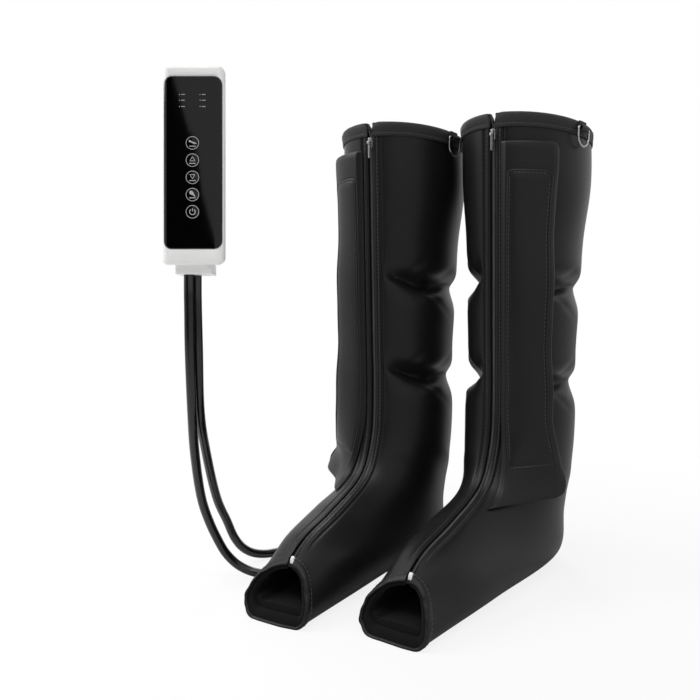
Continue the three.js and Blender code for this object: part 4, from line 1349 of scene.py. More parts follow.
    def build_toe_lip(self) -> None:
        """Makes the soft rolled lip of the toe opening and the lining that is turned in under it."""
        angles = self.around(np.array([[self.form.toe]]), (3.1, 5, 8, 11, 15, 20), 88)[0]
        inside = self.insole_inset - SEAT_GAP
        swell = self.toe_lip_swell
        profile = [
            (9, -0.2), (8.9, -swell), (8, -1.3 * swell), (7.2, -swell), (6.4, -1.3 * swell),
            (4.5, -1.6 * swell), (2.4, -1.6 * swell), (1, -1.2 * swell), (0.1, -0.4 * swell), (-0.3, 0.5),
            (-0.25, 1.3), (0.3, 2), (1.3, 2.3), (9, 2.4), (9, 0.9),
        ]
        turned_in = [
            (2.2, 2.6), (2.6, 0.45 * inside), (2.4, 0.6 * inside), (2.9, 0.8 * inside), (4.2, 0.95 * inside),
            (6.5, inside + 0.2), (9, inside), (9, 2.9),
        ]
        away = smoothstep(np.abs(half_turn(angles)), 0.25, 0.8)
        wave = (0.45 * np.sin(angles * 9 + self.side) + 0.3 * np.sin(angles * 17)) * away
        for name, outline, finish, solids in (
            ("toe_roll", profile, LEATHER, ["toe_lip"]), ("toe_facing", turned_in, LINING, []),
        ):
            rings = []
            for distance, inset in outline:
                loose = wave * (1 - distance / self.toe_lip_length)
                place = self.form.before_toe(distance - 0.5 * loose, angles)
                sole = smoothstep(self.form.point(place, angles, 0)[:, 2], 1, 9)
                rings.append(self.form.point(place, angles, inset - loose * sole))
            self.add(name, loft(list(np.stack(rings, 1))), finish, solids, sharp_degrees=60)
        self.seam("lip_stitching", self.form.before_toe(7.2, angles), angles, self.toe_lip_swell + 0.1, 0.35)

    def seam(self, name: str, places: Array, angles: Array, rise: float, radius: float = 0.3) -> None:
        """Makes a row of stitches on the cover.

        Args:
            name: Name of the piece.
            places: Places that the row runs through.
            angles: Angles that the row runs through.
            rise: Height of the thread above the plain cover.
            radius: Thickness of the thread.
        """
        line = self.form.point(places, angles, -rise)
        out = line - self.form.point(places, angles, -rise + 1)
        self.add(name, stitches(line, unit(out), radius), THREAD)

    def build_placket_seams(self) -> None:
        """Makes the two rows of stitches beside the zip."""
        places = np.linspace(self.form.at_drop(17), 9.3, 260)
        for side, name in ((1, "placket_stitching_near"), (-1, "placket_stitching_far")):
            angles = self.form.angle_at_side(places, side * (self.placket_width - self.placket_seam_inset))
            self.seam(name, places, angles, 0.36, 0.28)

    def under_flap(self, places: Array, angles: Array) -> Array:
        """Share by which a point of the cover lies under the flap or right beside it.

        Args:
            places: Places in stations.
            angles: Angles from the zip.

        Returns:
            The shares.
        """
        turn = self.side * half_turn(angles)
        back = math.radians(self.flap_back_angle)
        within = smoothstep(turn, 0.0, 0.1) * (1 - smoothstep(turn, back, back + 0.12))
        return within * (1 - smoothstep(places, 7.4, 7.9))

    def flap_point(self, share: Array, along: Array, height: Array) -> Array:
        """Points of the flap or of what follows it.

        Args:
            share: Share of the way to the free edge.
            along: Millimetres down the flap.
            height: Distance out of the flap's inner face.

        Returns:
            Points about the boot's origin.
        """
        upper = self.flap_split_drop - self.flap_top_drop
        down = np.clip((along - upper) / self.flap_foot_length, 0, 1)
        start = self.form.at_drop(self.flap_split_drop)
        end = self.flap_foot_places[0] + share * (self.flap_foot_places[1] - self.flap_foot_places[0])
        place = np.where(
            along < upper, self.form.at_drop(self.flap_top_drop + along), start + down * (end - start)
        )
        eased = smoothstep(along, upper - 20, upper + self.flap_foot_length)
        offset = self.flap_front_offset + eased * (self.flap_foot_front_offset - self.flap_front_offset)
        front = self.form.angle_at_side(place, self.side * offset)
        widening = eased * (self.flap_foot_back_angle - self.flap_back_angle)
        back = self.side * np.radians(self.flap_back_angle + widening)
        angle = front + share * (back - front)
        return self.form.point(place, angle, -self.flap_lift(share, place) - height, False)

    def flap_lift(self, share: Array, place: Array) -> Array:
        """How far the flap's inner face stands off the cover, more so down the calf.

        Args:
            share: Share of the way to the free edge.
            place: Places in stations.

        Returns:
            Distances in millimetres.
        """
        strips = 2 * (SEAT_GAP + self.strip_thickness) + SEAT_GAP
        seam = smoothstep(share, 0, 0.12)
        down = smoothstep(place, float(self.form.at_drop(self.flap_top_drop)), self.flap_full_place)
        stand_off = self.flap_top_stand_off + down * (self.flap_full_stand_off - self.flap_top_stand_off)
        lift = self.flap_edge_lift + seam * (strips - self.flap_edge_lift) + stand_off * share**1.5
        return lift - 1.2 * smoothstep(share, 0.9, 1.0)

    def flap_wave(self, share: Array, along: Array) -> Array:
        """How far the loose flap swells out, more so at its free edge."""
        return 0.7 * np.sin(along / 23 + share * 2.2) * share + 0.35 * np.sin(along / 9.5) * share**4

    def build_flap(self) -> None:
        """Makes the side flap in one piece, from its free upper part to its sewn foot."""
        length = self.flap_split_drop - self.flap_top_drop + self.flap_foot_length
        top, bottom = self.panel_ends
        across = np.unique(np.concatenate([
            np.linspace(0, 1, 30), *(side + np.linspace(-0.06, 0.06, 13) for side in self.panel_sides),
            [0.01, 0.02, 0.98, 0.99],
        ]))
        down = np.unique(np.concatenate([
            np.linspace(0, length, 150), top + np.linspace(-6, 8, 20), bottom + np.linspace(-8, 6, 20),
            [0.4, 1, 1.8, length - 1.8, length - 1, length - 0.4],
        ]))
        share, along = np.meshgrid(across, down)
        corner = self.flap_corner(share, along, length)
        reach = self.panel_distance(share, along)
        relief = 0.45 * bell(reach, 0, 0.6) - 0.55 * bell(reach, -1.3, 0.8) - 0.3 * bell(reach, 1.4, 0.8)
        relief = relief + 0.5 * smoothstep(-reach, 1.5, 9)
        hem = np.minimum(np.minimum(share, 1 - share) * self.flap_width, np.minimum(along, length - along))
        thin = self.flap_thickness * (0.35 + 0.65 * np.sqrt(np.clip(hem / 1.6, 0, 1)))
        bulge = 0.9 * smoothstep(hem, 0.5, 6) - 0.35 * bell(hem, 4.2, 0.8) * (reach > 3)
        curl = self.corner_curl * smoothstep(along, length - 40, length) * smoothstep(share, 0.45, 1)
        base = self.flap_wave(share, along) + curl
        outer = self.flap_point(share, corner, base + thin + relief + bulge)
        inner = self.flap_point(share, corner, base)
        flap = self.add("flap", wall(outer, inner), FLAP_LEATHER, ["side_flap", "flap_foot"], body="")
        for piece in (flap, self.flap_stitches(), self.build_hook_strip()):
            self.bend_with_flap(piece)

    def flap_corner(self, share: Array, along: Array, length: float) -> Array:
        """Distance down the flap, with the free corners drawn round.

        Args:
            share: Share of the way to the free edge.
            along: Millimetres down the flap.
            length: Length of the flap.

        Returns:
            Distances down that follow round corners.
        """
        radius = self.flap_corner_radius
        near = np.clip(1 - (1 - share) * self.flap_width / radius, 0, 1)
        drawn = radius * (1 - np.sqrt(1 - near**2))
        upper = drawn * (1 - smoothstep(along, 0, 40))
        lower = 1.6 * drawn * smoothstep(along, length - 60, length)
        return along + upper - lower

    def panel_distance(self, share: Array, along: Array) -> Array:
        """Signed distance from the stitched panel's outline, negative inside.

        Args:
            share: Share of the way across.
            along: Millimetres down.

        Returns:
            Distances in millimetres.
        """
        corner = self.panel_corner
        (left, right), (top, bottom) = self.panel_sides, self.panel_ends
        across = np.abs(share - (left + right) / 2) * self.flap_width
        x = across - (right - left) / 2 * self.flap_width + corner
        y = np.abs(along - (top + bottom) / 2) - (bottom - top) / 2 + corner
        return np.hypot(np.maximum(x, 0), np.maximum(y, 0)) + np.minimum(np.maximum(x, y), 0) - corner

    def flap_stitches(self) -> Object:
        """Makes the stitches round the flap's panel.

        Returns:
            The row of stitches.
        """
        (left, right), (top, bottom) = self.panel_sides, self.panel_ends
        corners = round_box((right - left) * self.flap_width - 3, bottom - top - 3, 4, 8)
        route = side_points(corners, 60)
        route = route[np.concatenate([[True], np.linalg.norm(np.diff(route, axis=0), axis=1) > 0.05])]
        share = (left + right) / 2 + route[:, 0] / self.flap_width
        along = (top + bottom) / 2 + route[:, 1]
        rise = self.flap_wave(share, along) + self.flap_thickness + 0.9 - 0.55 + 0.12
        line = self.flap_point(share, along, rise)
        out = unit(self.flap_point(share, along, rise + 1) - line)
        return self.add("flap_stitching", stitches(line, out, 0.26), THREAD, body="")

    def build_hook_strip(self) -> Object:
        """Makes the hook strip on the flap's inner face and the loop strip on the cover.

        Returns:
            The hook strip.
        """
        upper = self.flap_split_drop - self.flap_top_drop
        margin = self.strip_end_margin
        down, across = np.linspace(margin, upper - margin, 90), np.linspace(0.17, 0.83, 14)
        along, share = np.meshgrid(down, across, indexing="ij")
        wave = self.flap_wave(share, along)
        outer = self.flap_point(share, along, wave - 0.05)
        inner = self.flap_point(share, along, np.minimum(wave, 0) - self.strip_thickness)
        hook = self.add("hook_band", wall(outer, inner), HOOKS, ["hook_strip"], body="")
        lift = self.flap_lift(share, self.form.at_drop(self.flap_top_drop + along))
        outer = self.flap_point(share, along, -lift + SEAT_GAP + self.strip_thickness)
        inner = self.flap_point(share, along, -lift + 0.1)
        self.add("loop_band", wall(outer, inner), HOOKS, ["loop_strip"])
        return hook

    def bend_with_flap(self, piece: Object) -> None:
        """Works out where the flap's bend would end and start, and sets a piece's place into its mesh.

        Args:
            piece: The piece.
        """
        foot, top = (
            self.world(self.form.point(place, 0.15 * self.side, 0, False)) * MM for place in self.bend_places
        )
        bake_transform(piece)

    def build_zip(self) -> None:
        """Makes the zip: tape, coil, slider, pull and the stop at the toe."""
        places = np.concatenate([self.wall_rows()[:-1], [float(self.form.before_toe(self.wall_end, 0.0))]])
        parted = self.parting(places * self.form.calf_pitch)[:, None]
        share = np.array([0, 0.06, 0.15, 0.3, 0.5, 0.75, 1.0])[None, :]
        for side, name in ((1, "zip_cloth_near"), (-1, "zip_cloth_far")):
            sides = side * (parted + share * (self.tape_half_width - parted))
            angles = self.form.angle_at_side(places[:, None], sides)
            grid = np.broadcast_to(places[:, None], angles.shape)
            dip = 0.5 * bell(sides, 0, 0.8)
            outer = self.form.point(grid, angles, self.tape_inset + dip)
            inner = self.form.point(grid, angles, self.tape_inset + self.tape_thickness + dip)
            cloth = wall(outer, inner, (grid * self.form.calf_pitch, sides))
            self.add(name, cloth, TAPE, ["zip_tape"] if side > 0 else [])
        self.build_coil()
        self.build_slider()
        self.build_stop()

    def parting(self, drop: Array) -> Array:
        """How far each half of the zip lies from its middle, more so above the slider."""
        return self.closed_gap + self.open_gap * (1 - smoothstep(drop, 1, self.slider_drop - 5))

    def build_coil(self) -> None:
        """Makes the zip's two interlocked coils, which part above the slider."""
        form = self.form
        dense = np.linspace(0.02, float(form.before_toe(self.wall_end + 1, 0.0)), 1600)
        line = form.point(dense, np.zeros(dense.shape), 0, False)
        length = lengths_along(line)
        steps = 8
        turns = int(length[-1] / self.coil_pitch)
        at = np.linspace(0, length[-1], turns * steps + 1)
        place = np.interp(at, length, dense)
        spread = self.parting(place * form.calf_pitch)
        phase = np.linspace(0, 2 * math.pi * turns, len(at))
        middle_inset = self.tape_inset - SEAT_GAP - self.teeth_thickness / 2
        coils = []
        for side in (-1, 1):
            turn = phase + (math.pi if side > 0 else 0)
            sideways = side * (0.5 + spread) + self.coil_swing * np.cos(turn)
            inset = middle_inset - 0.72 * np.sin(turn)
            angle = form.angle_at_side(place, sideways)
            path = form.point(place, angle, inset, False)
            outward = path - form.point(place, angle, inset + 1, False)
            coils.append(sweep(path, outward, circle(self.coil_wire, 5)))
        self.add("zip_coil", coils[0].joined(coils[1]), COIL, ["zip_teeth"], sharp_degrees=80)

    def zip_frame(self) -> Frame:
        """Origin of the slider and the directions across, down and out of the zip."""
        front, foot = self.form.cuff_front, self.form.calf_foot_front
        down = unit(np.array([0.0, foot[0] - front[0], foot[1] - front[1]]))
        out = np.array([0.0, down[2], -down[1]])
        origin = self.form.point(self.form.at_drop(self.slider_drop), 0.0, 0, False)
        return origin, np.array([-1.0, 0.0, 0.0]), down, out

    def build_slider(self) -> None:
        """Makes the slider with its bridge, and the pull that hangs from it."""
        place = set_at(*self.zip_frame())
        teeth_inset = self.tape_inset - SEAT_GAP - self.teeth_thickness
        plate_foot = -teeth_inset + SEAT_GAP
        plate_top = plate_foot + self.slider_plate
        axis_rise = plate_top + SEAT_GAP + self.axis_height
        outline = np.array([
            [-1.7, 6], [1.7, 6], [2.4, 4], [2.6, 1], [2.7, -3.5], [2.3, -5.2], [1.1, -6], [-1.1, -6],
            [-2.3, -5.2], [-2.7, -3.5], [-2.6, 1], [-2.4, 4],
        ])[::-1]
        plate = soft_plate(smooth_outline(outline, 5), plate_foot, plate_top, 0.5)
        cheek, post = round_box(0.7, 11, 0.3, 3), round_box(0.7, 3.2, 0.3, 3)
        cheek_foot = -self.tape_inset + SEAT_GAP
        cheeks = [soft_plate(cheek + [x, 0], cheek_foot, plate_top - 0.4, 0.2) for x in (-2.4, 2.4)]
        posts = [soft_plate(post + [x, 0], plate_top - 0.4, axis_rise + 1.6, 0.25) for x in (-1.8, 1.8)]
        bar = lathe([(0.8, -1.9), (0.8, 1.9)], 24)
        bar = bar.moved(lambda p: np.stack([p[:, 2], p[:, 0], p[:, 1] + axis_rise], -1))
        slider = plate.joined(*cheeks, *posts, bar).moved(place)
        self.add("slider_body", slider, DARK_METAL, ["zip_slider"], body=f"{self.prefix}_slider")
        eye = np.column_stack([np.zeros((24, 1)), circle(1.6, 24)])
        ring = sweep(eye, np.tile([1.0, 0.0, 0.0], (24, 1)), round_box(2.1, 0.9, 0.3, 2), True)
        tongue = np.array([
            [-0.9, 1.9], [0.9, 1.9], [1.1, 4], [1.1, 14.5], [0.7, 16.6], [-0.7, 16.6], [-1.1, 14.5],
            [-1.1, 4],
        ])
        tongue = soft_plate(smooth_outline(tongue, 4), -0.6, 0.6, 0.3)
        pull = ring.joined(tongue).moved(lambda p: place(p + [0, 0, axis_rise]))
        self.add("pull_tab", pull, DARK_METAL, ["zip_pull"], body=f"{self.prefix}_pull")

    def build_stop(self) -> None:
        """Makes the pale stop at the toe end of the zip."""
        places = self.form.before_toe(np.linspace(*self.stop_ends, 12), 0.0)[:, None]
        sides = np.linspace(-1, 1, 13)[None, :]
        lengths = np.linspace(-1, 1, 12)[:, None]
        angles = self.form.angle_at_side(places, self.stop_half_width * sides + 1e-6)
        grid = np.broadcast_to(places, angles.shape)
        dome = np.clip(1 - np.abs(sides) ** 4, 0, 1) * np.clip(1 - np.abs(lengths) ** 4, 0, 1)
        ridge = 0.5 * bell(lengths, 0.1, 0.35) * dome
        outer = self.form.point(grid, angles, -1.7 * np.sqrt(dome) - ridge, False)
        inner = self.form.point(grid, angles, self.tape_inset, False)
        self.add("stop_bead", wall(outer, inner), WHITE_PLASTIC, ["zip_stop"])

    def build_ring(self) -> None:
        """Makes the hanging ring and the webbing loop that holds it."""
        eye_inner = self.ring_wire / math.sqrt(2) + 0.35
        eye_outer = eye_inner + self.tab_thickness
        drop = self.tab_tail + eye_outer + SEAT_GAP
        origin, round_way, down, out = self.form.cover_frame(
            float(self.form.at_drop(drop)), math.radians(self.ring_angle)
        )
        lift = 2 * SEAT_GAP + self.binding_thickness + eye_outer
        place = set_at(origin + out * lift, round_way, down, out)
        wire = self.ring_wire / 2
        half, straight = self.ring_width / 2 - wire, self.ring_height - self.ring_width / 2
        corner = 2.2
        bow = arc_points(half, 0, 180, 40) + [0, straight]
        left = arc_points(corner, 180, 270, 10) + [-half + corner, corner]
        right = arc_points(corner, 270, 360, 10) + [half - corner, corner]
        bar = np.column_stack([np.linspace(-half + corner + 1, half - corner - 1, 12), np.zeros(12)])
        outline = np.concatenate([bow, left, bar, right])
        path = np.column_stack([outline, np.zeros(len(outline))])
        level = np.tile([0.0, 0.0, 1.0], (len(path), 1))
        ring = sweep(path, level, circle(wire, 16), True).moved(place)
        self.add("hanging_ring", ring, DARK_METAL, ["d_ring"], body=f"{self.prefix}_ring")
        foot = -eye_outer
        thick = self.tab_thickness
        mid = eye_inner + thick / 2
        turn = np.radians(np.linspace(-90, 215, 40))
        loop = np.stack([mid * np.cos(turn), mid * np.sin(turn)], -1)
        ends = np.linspace(-1.2 * mid, -(eye_outer + self.tab_tail), 8)
        tail = np.column_stack([ends, np.full(8, foot + thick / 2)])
        merge = np.array([[-1.1 * mid, -0.62 * mid], [-1.35 * mid, -0.5 * mid - 0.5]])
        ends = np.linspace(-1.5 * mid, -(eye_outer + self.tab_tail), 7)
        top_tail = np.column_stack([ends, np.full(7, foot + 1.5 * thick + 0.1)])
        strip = np.concatenate([tail[::-1], loop[:-2], merge, top_tail])
        path = np.column_stack([np.zeros(len(strip)), strip])
        side_way = np.tile([1.0, 0.0, 0.0], (len(path), 1))
        section = round_box(self.tab_width, thick * 0.92, 0.35, 2)
        tab = sweep(path, side_way, section).moved(place)
        self.add("ring_loop", tab, RING_WEBBING, ["ring_tab"], sharp_degrees=60)

    def build_port(self) -> None:
        """Makes the air port behind the ankle, with its flange and stub."""
        low, end = SEAT_GAP, self.port_reach
        profile = [
            (0.01, low - 1.2), (10.6, low - 1.2), (11, low + 0.2), (11, low + 0.9), (10.6, low + 1.4),
            (8.6, low + 1.9), (7.6, low + 2.6), (6.7, low + 4.4), (6.5, low + 6), (6.5, end - 3),
            (6.7, end - 2.6), (6.7, end - 1), (6.3, end - 0.3), (5.9, end), (3.3, end), (3, end - 0.3),
            (3, end - 12), (0.01, end - 12),
        ]
        port = lathe(profile).moved(set_at(*self.port_frame()))
        self.add("air_fitting", port, FITTING, ["air_port"], sharp_degrees=35)

    def port_frame(self) -> Frame:
        """Origin of the air port and the directions round the boot, down it, and out."""
        angle = math.radians(self.port_angle)
        return self.form.cover_frame(self.form.at_height(self.port_height, angle), angle)

    def port_line(self) -> tuple[Array, Array]:
        """Foot of the air port and the direction that it points in, in the frame.

        Returns:
            The point and the direction.
        """
        origin, _, _, out = self.port_frame()
        start = self.world(origin)
        return start, self.world(origin + out) - start

    def build(self) -> None:
        """Makes all pieces of the boot."""
        for build in (
            self.build_wall, self.build_insole, self.build_edges, self.build_placket_seams, self.build_zip,
            self.build_flap, self.build_ring, self.build_port,
        ):
            build()


def smooth_outline(outline: Array, steps: int) -> Array:
    """Rounds the corners of a closed outline with a curve through its points.

    Args:
        outline: Outline points as pairs.
        steps: Steps between two points.

    Returns:
        The finer outline.
    """
    part = np.linspace(0, 1, steps, endpoint=False)[:, None]
    made = []
    for index in range(len(outline)):
        a, b, c, d = (outline[(index + k) % len(outline)] for k in (-1, 0, 1, 2))
        made.append(0.5 * (2 * b + (c - a) * part + (2 * a - 5 * b + 4 * c - d) * part**2
                           + (3 * b - a - 3 * c + d) * part**3))
    return np.concatenate(made)


def stitches(line: Array, out: Array, radius: float, length: float = 3.2, gap: float = 1.3) -> Surface:
    """Row of stitches along a line, each dipping into the fabric at its ends.

    Args:
        line: Close points of the line.
        out: Direction out of the fabric at each point.
        radius: Thickness of the thread.
        length: Length of a stitch.
        gap: Gap between two stitches.

    Returns:
        All stitches as one surface.
    """
    along = lengths_along(line)
    count = int(along[-1] / (length + gap))
    share = np.linspace(0, 1, 6)
    hump = np.array([-0.9, 0.1, 0.35, 0.35, 0.1, -0.9]) * radius * 1.6
    made = []
    for number in range(count):
        at = number * (length + gap) + share * length
        path, lift = (
            np.stack([np.interp(at, along, part[:, k]) for k in range(3)], -1) for part in (line, out)
        )
        made.append(sweep(path + lift * hump[:, None], lift, circle(radius, 6)))
    return made[0].joined(*made[1:])


@dataclass(frozen=True)
class Hose:
    """An air hose, from the controller's socket to its boot."""

    solid: str
    offset: Pair
    middle: tuple[Triple, ...]
    diameter: float = 10
    tail: float = 14

    def build(self, boot: Boot, controller: "Controller") -> None:
        """Args:
            boot: The boot that it ends at.
            controller: The controller that it leaves from.
        """
        mouth = controller.socket_mouth
        ends = np.array([[*self.offset, mouth], [*self.offset, mouth - self.tail]])
        port, out = boot.port_line()
        end = port + out * (boot.port_reach + SEAT_GAP)
        middle = np.array(self.middle) + FOOTPRINT_SHIFT
        points = np.array([*controller.world(ends), *middle, end + out * self.tail, end])
        route = smooth_route(points, 8)
        route[:, 2] = np.maximum(route[:, 2], self.diameter / 2)
        self.lay(self.solid, route * MM)

    def lay(self, name: str, route: Array) -> None:
        """Makes the hose as a curve.

        Args:
            name: Name of the hose's solid.
            route: Points that it follows, in metres.
        """
        curve = bpy.data.curves.new(name, "CURVE")
        curve.dimensions = "3D"
        curve.bevel_depth = self.diameter * MM / 2
        curve.bevel_resolution = 8
        curve.use_fill_caps = True
        spline = curve.splines.new("POLY")
        spline.points.add(len(route) - 1)
        for point, place in zip(spline.points, route):
            point.co = (*place, 1.0)
        curve.materials.append(HOSE_SKIN.material())
        hose = place_object(f"{name}_tube", curve)
        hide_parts(name)
        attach(hose, "base")


HOSES = {
    "left": Hose("hose_left", (-6, -4.4), (
        (-135.2, -185.2, 306), (-137.3, -183.4, 268.5), (-143.6, -175.4, 202.2), (-157, -159.5, 157),
        (-173, -134, 98), (-176, -120.5, 70.5), (-175, -108, 46), (-171, -99.5, 29), (-162, -91, 15.5),
        (-149, -82.5, 7.5), (-134, -73.5, 5), (-121, -60, 5), (-114, -42, 5), (-112, -20, 5), (-112, 40, 5),
        (-112, 110, 5), (-112, 175, 5), (-111, 197, 5), (-106, 218, 5), (-95, 235, 5), (-79, 247, 5.5),
        (-59, 252, 8.5), (-42, 250.5, 17.5), (-31, 248, 30), (-24, 245.5, 48), (-17, 242.5, 67),
        (-7.5, 237, 79.5), (5, 228, 88),
    )),
    "right": Hose("hose_right", (-0.2, 4.8), (
        (-134.7, -175.2, 305.7), (-136.3, -173.1, 267.8), (-147.7, -160.3, 199.7), (-167, -132.5, 150.5),
        (-186, -96, 86.5), (-190.5, -76, 56.5), (-190.5, -64, 34), (-188, -53, 19.5), (-183.5, -40, 10),
        (-177, -25, 5.5), (-169, -8, 5), (-164, 14, 5), (-165, 40, 5), (-178, 90, 5), (-205, 145, 5),
        (-232, 185, 5), (-243, 209, 5), (-246, 234, 5), (-236, 256, 5), (-214, 269, 6), (-188, 267, 11),
        (-168, 252, 24), (-160, 234, 50), (-156.5, 213, 77.5), (-147, 195, 88),
    )),
}


@dataclass
class Controller:
    """Hand controller: two shells, gloss face, five keys, socket and what is inside."""

    place: Triple = (-137.76, -170.21, 442.49)
    turn: float = 33.88
    tilt: float = 5.105
    width: float = 61
    height: float = 191.5
    depth: float = 34
    back_side_margin: float = 5.5
    back_end_margin: float = 4
    corner: float = 7
    wall_thickness: float = 2
    front_wall: float = 3.2
    front_depth: float = 15
    side_bend: float = 8.6
    end_bend: float = 3.6
    panel_width: float = 56
    panel_height: float = 165
    panel_thickness: float = 2
    panel_corner: float = 8
    panel_rise: float = 0.6
    panel_top_margin: float = 11
    panel_edge: float = 0.7
    first_key_drop: float = 75
    key_pitch: float = 16.45
    key_radius: float = 6.7
    key_rise: float = 0.2
    socket_size: Triple = (37, 20, 8)
    print_height: float = 0.04
    # Sides and drops of the small printed marks on the face
    mark_sides: tuple[float, ...] = (-9.0, 10.7)
    mark_drops: tuple[float, ...] = (17.6, 23.1, 29.1)
    icon_names: tuple[str, ...] = ("key_foot", "key_up", "key_down", "key_calf", "key_power")

    @property
    def front(self) -> float:
        """Depth of the case's front face."""
        return -self.depth / 2

    @property
    def panel_middle(self) -> float:
        """Height of the panel's middle above the case's middle."""
        return self.height / 2 - self.panel_top_margin - self.panel_height / 2

    def world(self, points: Array) -> Array:
        """Points of the controller set in its place.

        Args:
            points: Points about the case's middle.

        Returns:
            Points in the frame.
        """
        tilt = math.radians(self.tilt)
        x, y, z = points[..., 0], points[..., 1], points[..., 2]
        tilted = [x, y * math.cos(tilt) + z * math.sin(tilt), z * math.cos(tilt) - y * math.sin(tilt)]
        return turned(np.stack(tilted, -1), self.turn) + self.place + FOOTPRINT_SHIFT

    @property
    def socket_mouth(self) -> float:
        """Height of the socket's lower end about the case's middle."""
        return -self.height / 2 - 2 * SEAT_GAP - self.socket_size[2]

    def taper(self, depth: Array) -> tuple[Array, Array]:
        """Width and height of the case at a depth, as shares of those of its face."""
        share = 2 * (depth - self.front) / self.depth
        return 1 - self.back_side_margin / self.width * share, 1 - self.back_end_margin / self.height * share

    def bent(self, surface: Surface) -> Surface:
        """Bends the face back at its long sides and, less so, at its ends.

        Args:
            surface: A surface about the case's middle, with its face flat.

        Returns:
            The bent surface, with edges where the face bends.
        """
        half, high = self.width / 2, self.height / 2
        turns = np.radians(np.linspace(0, 84, 11))
        cuts = []
        for axis, edge, radius, steps in (
            (0, half, self.side_bend, turns), (2, high, self.end_bend, turns[::2]),
        ):
            places = [edge - radius * (1 - math.sin(a)) for a in steps]
            cuts += [(axis, sign * place) for place in places for sign in (-1, 1)]
        made = sliced(surface, cuts)
        x, y, z = made.points.T
        drop = np.zeros(len(x))
        for place, edge, radius in ((x, half, self.side_bend), (z, high, self.end_bend)):
            within = np.clip(np.abs(place) - edge + radius, 0, radius)
            drop = drop + radius - np.sqrt(radius**2 - within**2)
        share = np.clip(1 - (y - self.front) / self.front_depth, 0, 1)
        return Surface(np.stack([x, y + drop * share, z], -1), made.faces)

    def facing(self, level: float, up: float = 0.0) -> Callable[[Array], Array]:
        """Function that sets points across, up and out on the case, at a depth and a height."""
        return lambda p: self.world(np.stack([p[:, 0], level - p[:, 2], p[:, 1] + up], -1))

    def ring(
        self, inset: float, depth: float, middle: float = 0.0, size: Sequence[float] | None = None
    ) -> Array:
        """Outline of the case or of another rounded rectangle, at a depth.

        Args:
            inset: How much smaller it is on each side.
            depth: Depth of the outline.
            middle: Height of its middle.
            size: Width, height and corner, where it isn't the case's.

        Returns:
            Points across, deep and up.
        """
        width, height, corner = size or (self.width, self.height, self.corner)
        outline = round_box(width - 2 * inset, height - 2 * inset, max(corner - inset, 0.4), 8)
        if size is None:
            outline = outline * self.taper(depth)
        return np.column_stack([outline[:, 0], np.full(len(outline), depth), outline[:, 1] + middle])

    def build_shells(self) -> None:
        """Makes the white front and rear shells with their rounded edges."""
        panel = (self.panel_width + 2 * SEAT_GAP, self.panel_height + 2 * SEAT_GAP, self.panel_corner)
        window = (self.panel_width - 8, self.panel_height - 8, self.corner - self.wall_thickness)
        seat = self.front - self.panel_rise + self.panel_thickness + SEAT_GAP
        parting = self.front + self.front_depth
        middle = self.panel_middle
        inner = self.wall_thickness
        rings = [
            self.ring(0, self.front + self.front_wall, middle, window),
            self.ring(0, seat, middle, window),
            self.ring(0.2, seat, middle, panel),
            self.ring(0, seat - 0.2, middle, panel),
            self.ring(0, self.front + 0.5, middle, panel),
            self.ring(-0.35, self.front + 0.1, middle, panel),
            self.ring(0.4, self.front), self.ring(0.1, self.front + 0.15), self.ring(0, self.front + 0.5),
            self.ring(0, parting - 0.5), self.ring(0.25, parting), self.ring(inner - 0.3, parting),
            self.ring(inner, parting - 0.3), self.ring(inner, self.front + self.front_wall + 0.6),
            self.ring(inner + 0.6, self.front + self.front_wall),
        ]
        front = self.bent(loft(rings, True)).moved(self.world)
        add_piece("case_front", front, WHITE_PLASTIC, "base", ["front_shell"], 50)
        back = self.depth / 2
        radius = 5.0
        rings = [self.ring(inner + 0.4, back - inner), self.ring(inner, back - inner - 0.4)]
        rings += [self.ring(inner, parting + SEAT_GAP), self.ring(0.25, parting + SEAT_GAP)]
        rings += [self.ring(0, parting + SEAT_GAP + 0.5)]
        turns = np.radians(np.linspace(0, 90, 8))
        rings += [self.ring(radius * (1 - math.cos(a)), back - radius * (1 - math.sin(a))) for a in turns]
        rear = loft(rings).moved(self.world)
        add_piece("case_rear", rear, WHITE_PLASTIC, "base", ["rear_shell"], 35)

    def key_heights(self) -> list[float]:
        """Heights of the keys above the case's middle."""
        top = self.height / 2 - self.first_key_drop
        return [top - index * self.key_pitch for index in range(len(self.icon_names))]

    def build_face(self) -> None:
        """Makes the gloss face with its key holes and printed marks."""
        front = self.front - self.panel_rise
        size = (self.panel_width, self.panel_height, self.panel_corner)
        edge = self.panel_edge
        levels = [(0.2, front + self.panel_thickness)]
        for a in np.radians(np.linspace(0, 90, 7)):
            levels.append((edge * (1 - math.cos(a)), front + edge * (1 - math.sin(a))))
        rings = [self.ring(inset, depth, self.panel_middle, size) for inset, depth in levels]
        face = self.bent(loft(rings)).moved(self.world)
        face = add_piece("gloss_face", face, GLOSS_FACE, "base", ["face_panel"], 30)
        hole = lathe([(self.key_radius + SEAT_GAP, -4), (self.key_radius + SEAT_GAP, 4)], 64)
        holes = [hole.moved(self.facing(front, height)) for height in self.key_heights()]
        cut_holes(face, holes[0].joined(*holes[1:]))
        bar = soft_plate(round_box(3.6, 0.6, 0.25, 3), 0, self.print_height, 0.01, 1)
        dot = soft_plate(circle(0.45, 12) - [3.4, 0], 0, self.print_height, 0.01, 1)
        mark = bar.joined(dot)
        marks = []
        for x in self.mark_sides:
            for drop in self.mark_drops:
                up = self.height / 2 - self.panel_top_margin - drop
                marks.append(mark.moved(set_at(np.array([x, up, 0]), *np.eye(3))))
        marks = marks[0].joined(*marks[1:]).moved(self.facing(front))
        add_piece("face_marks", marks, PRINT, "base")

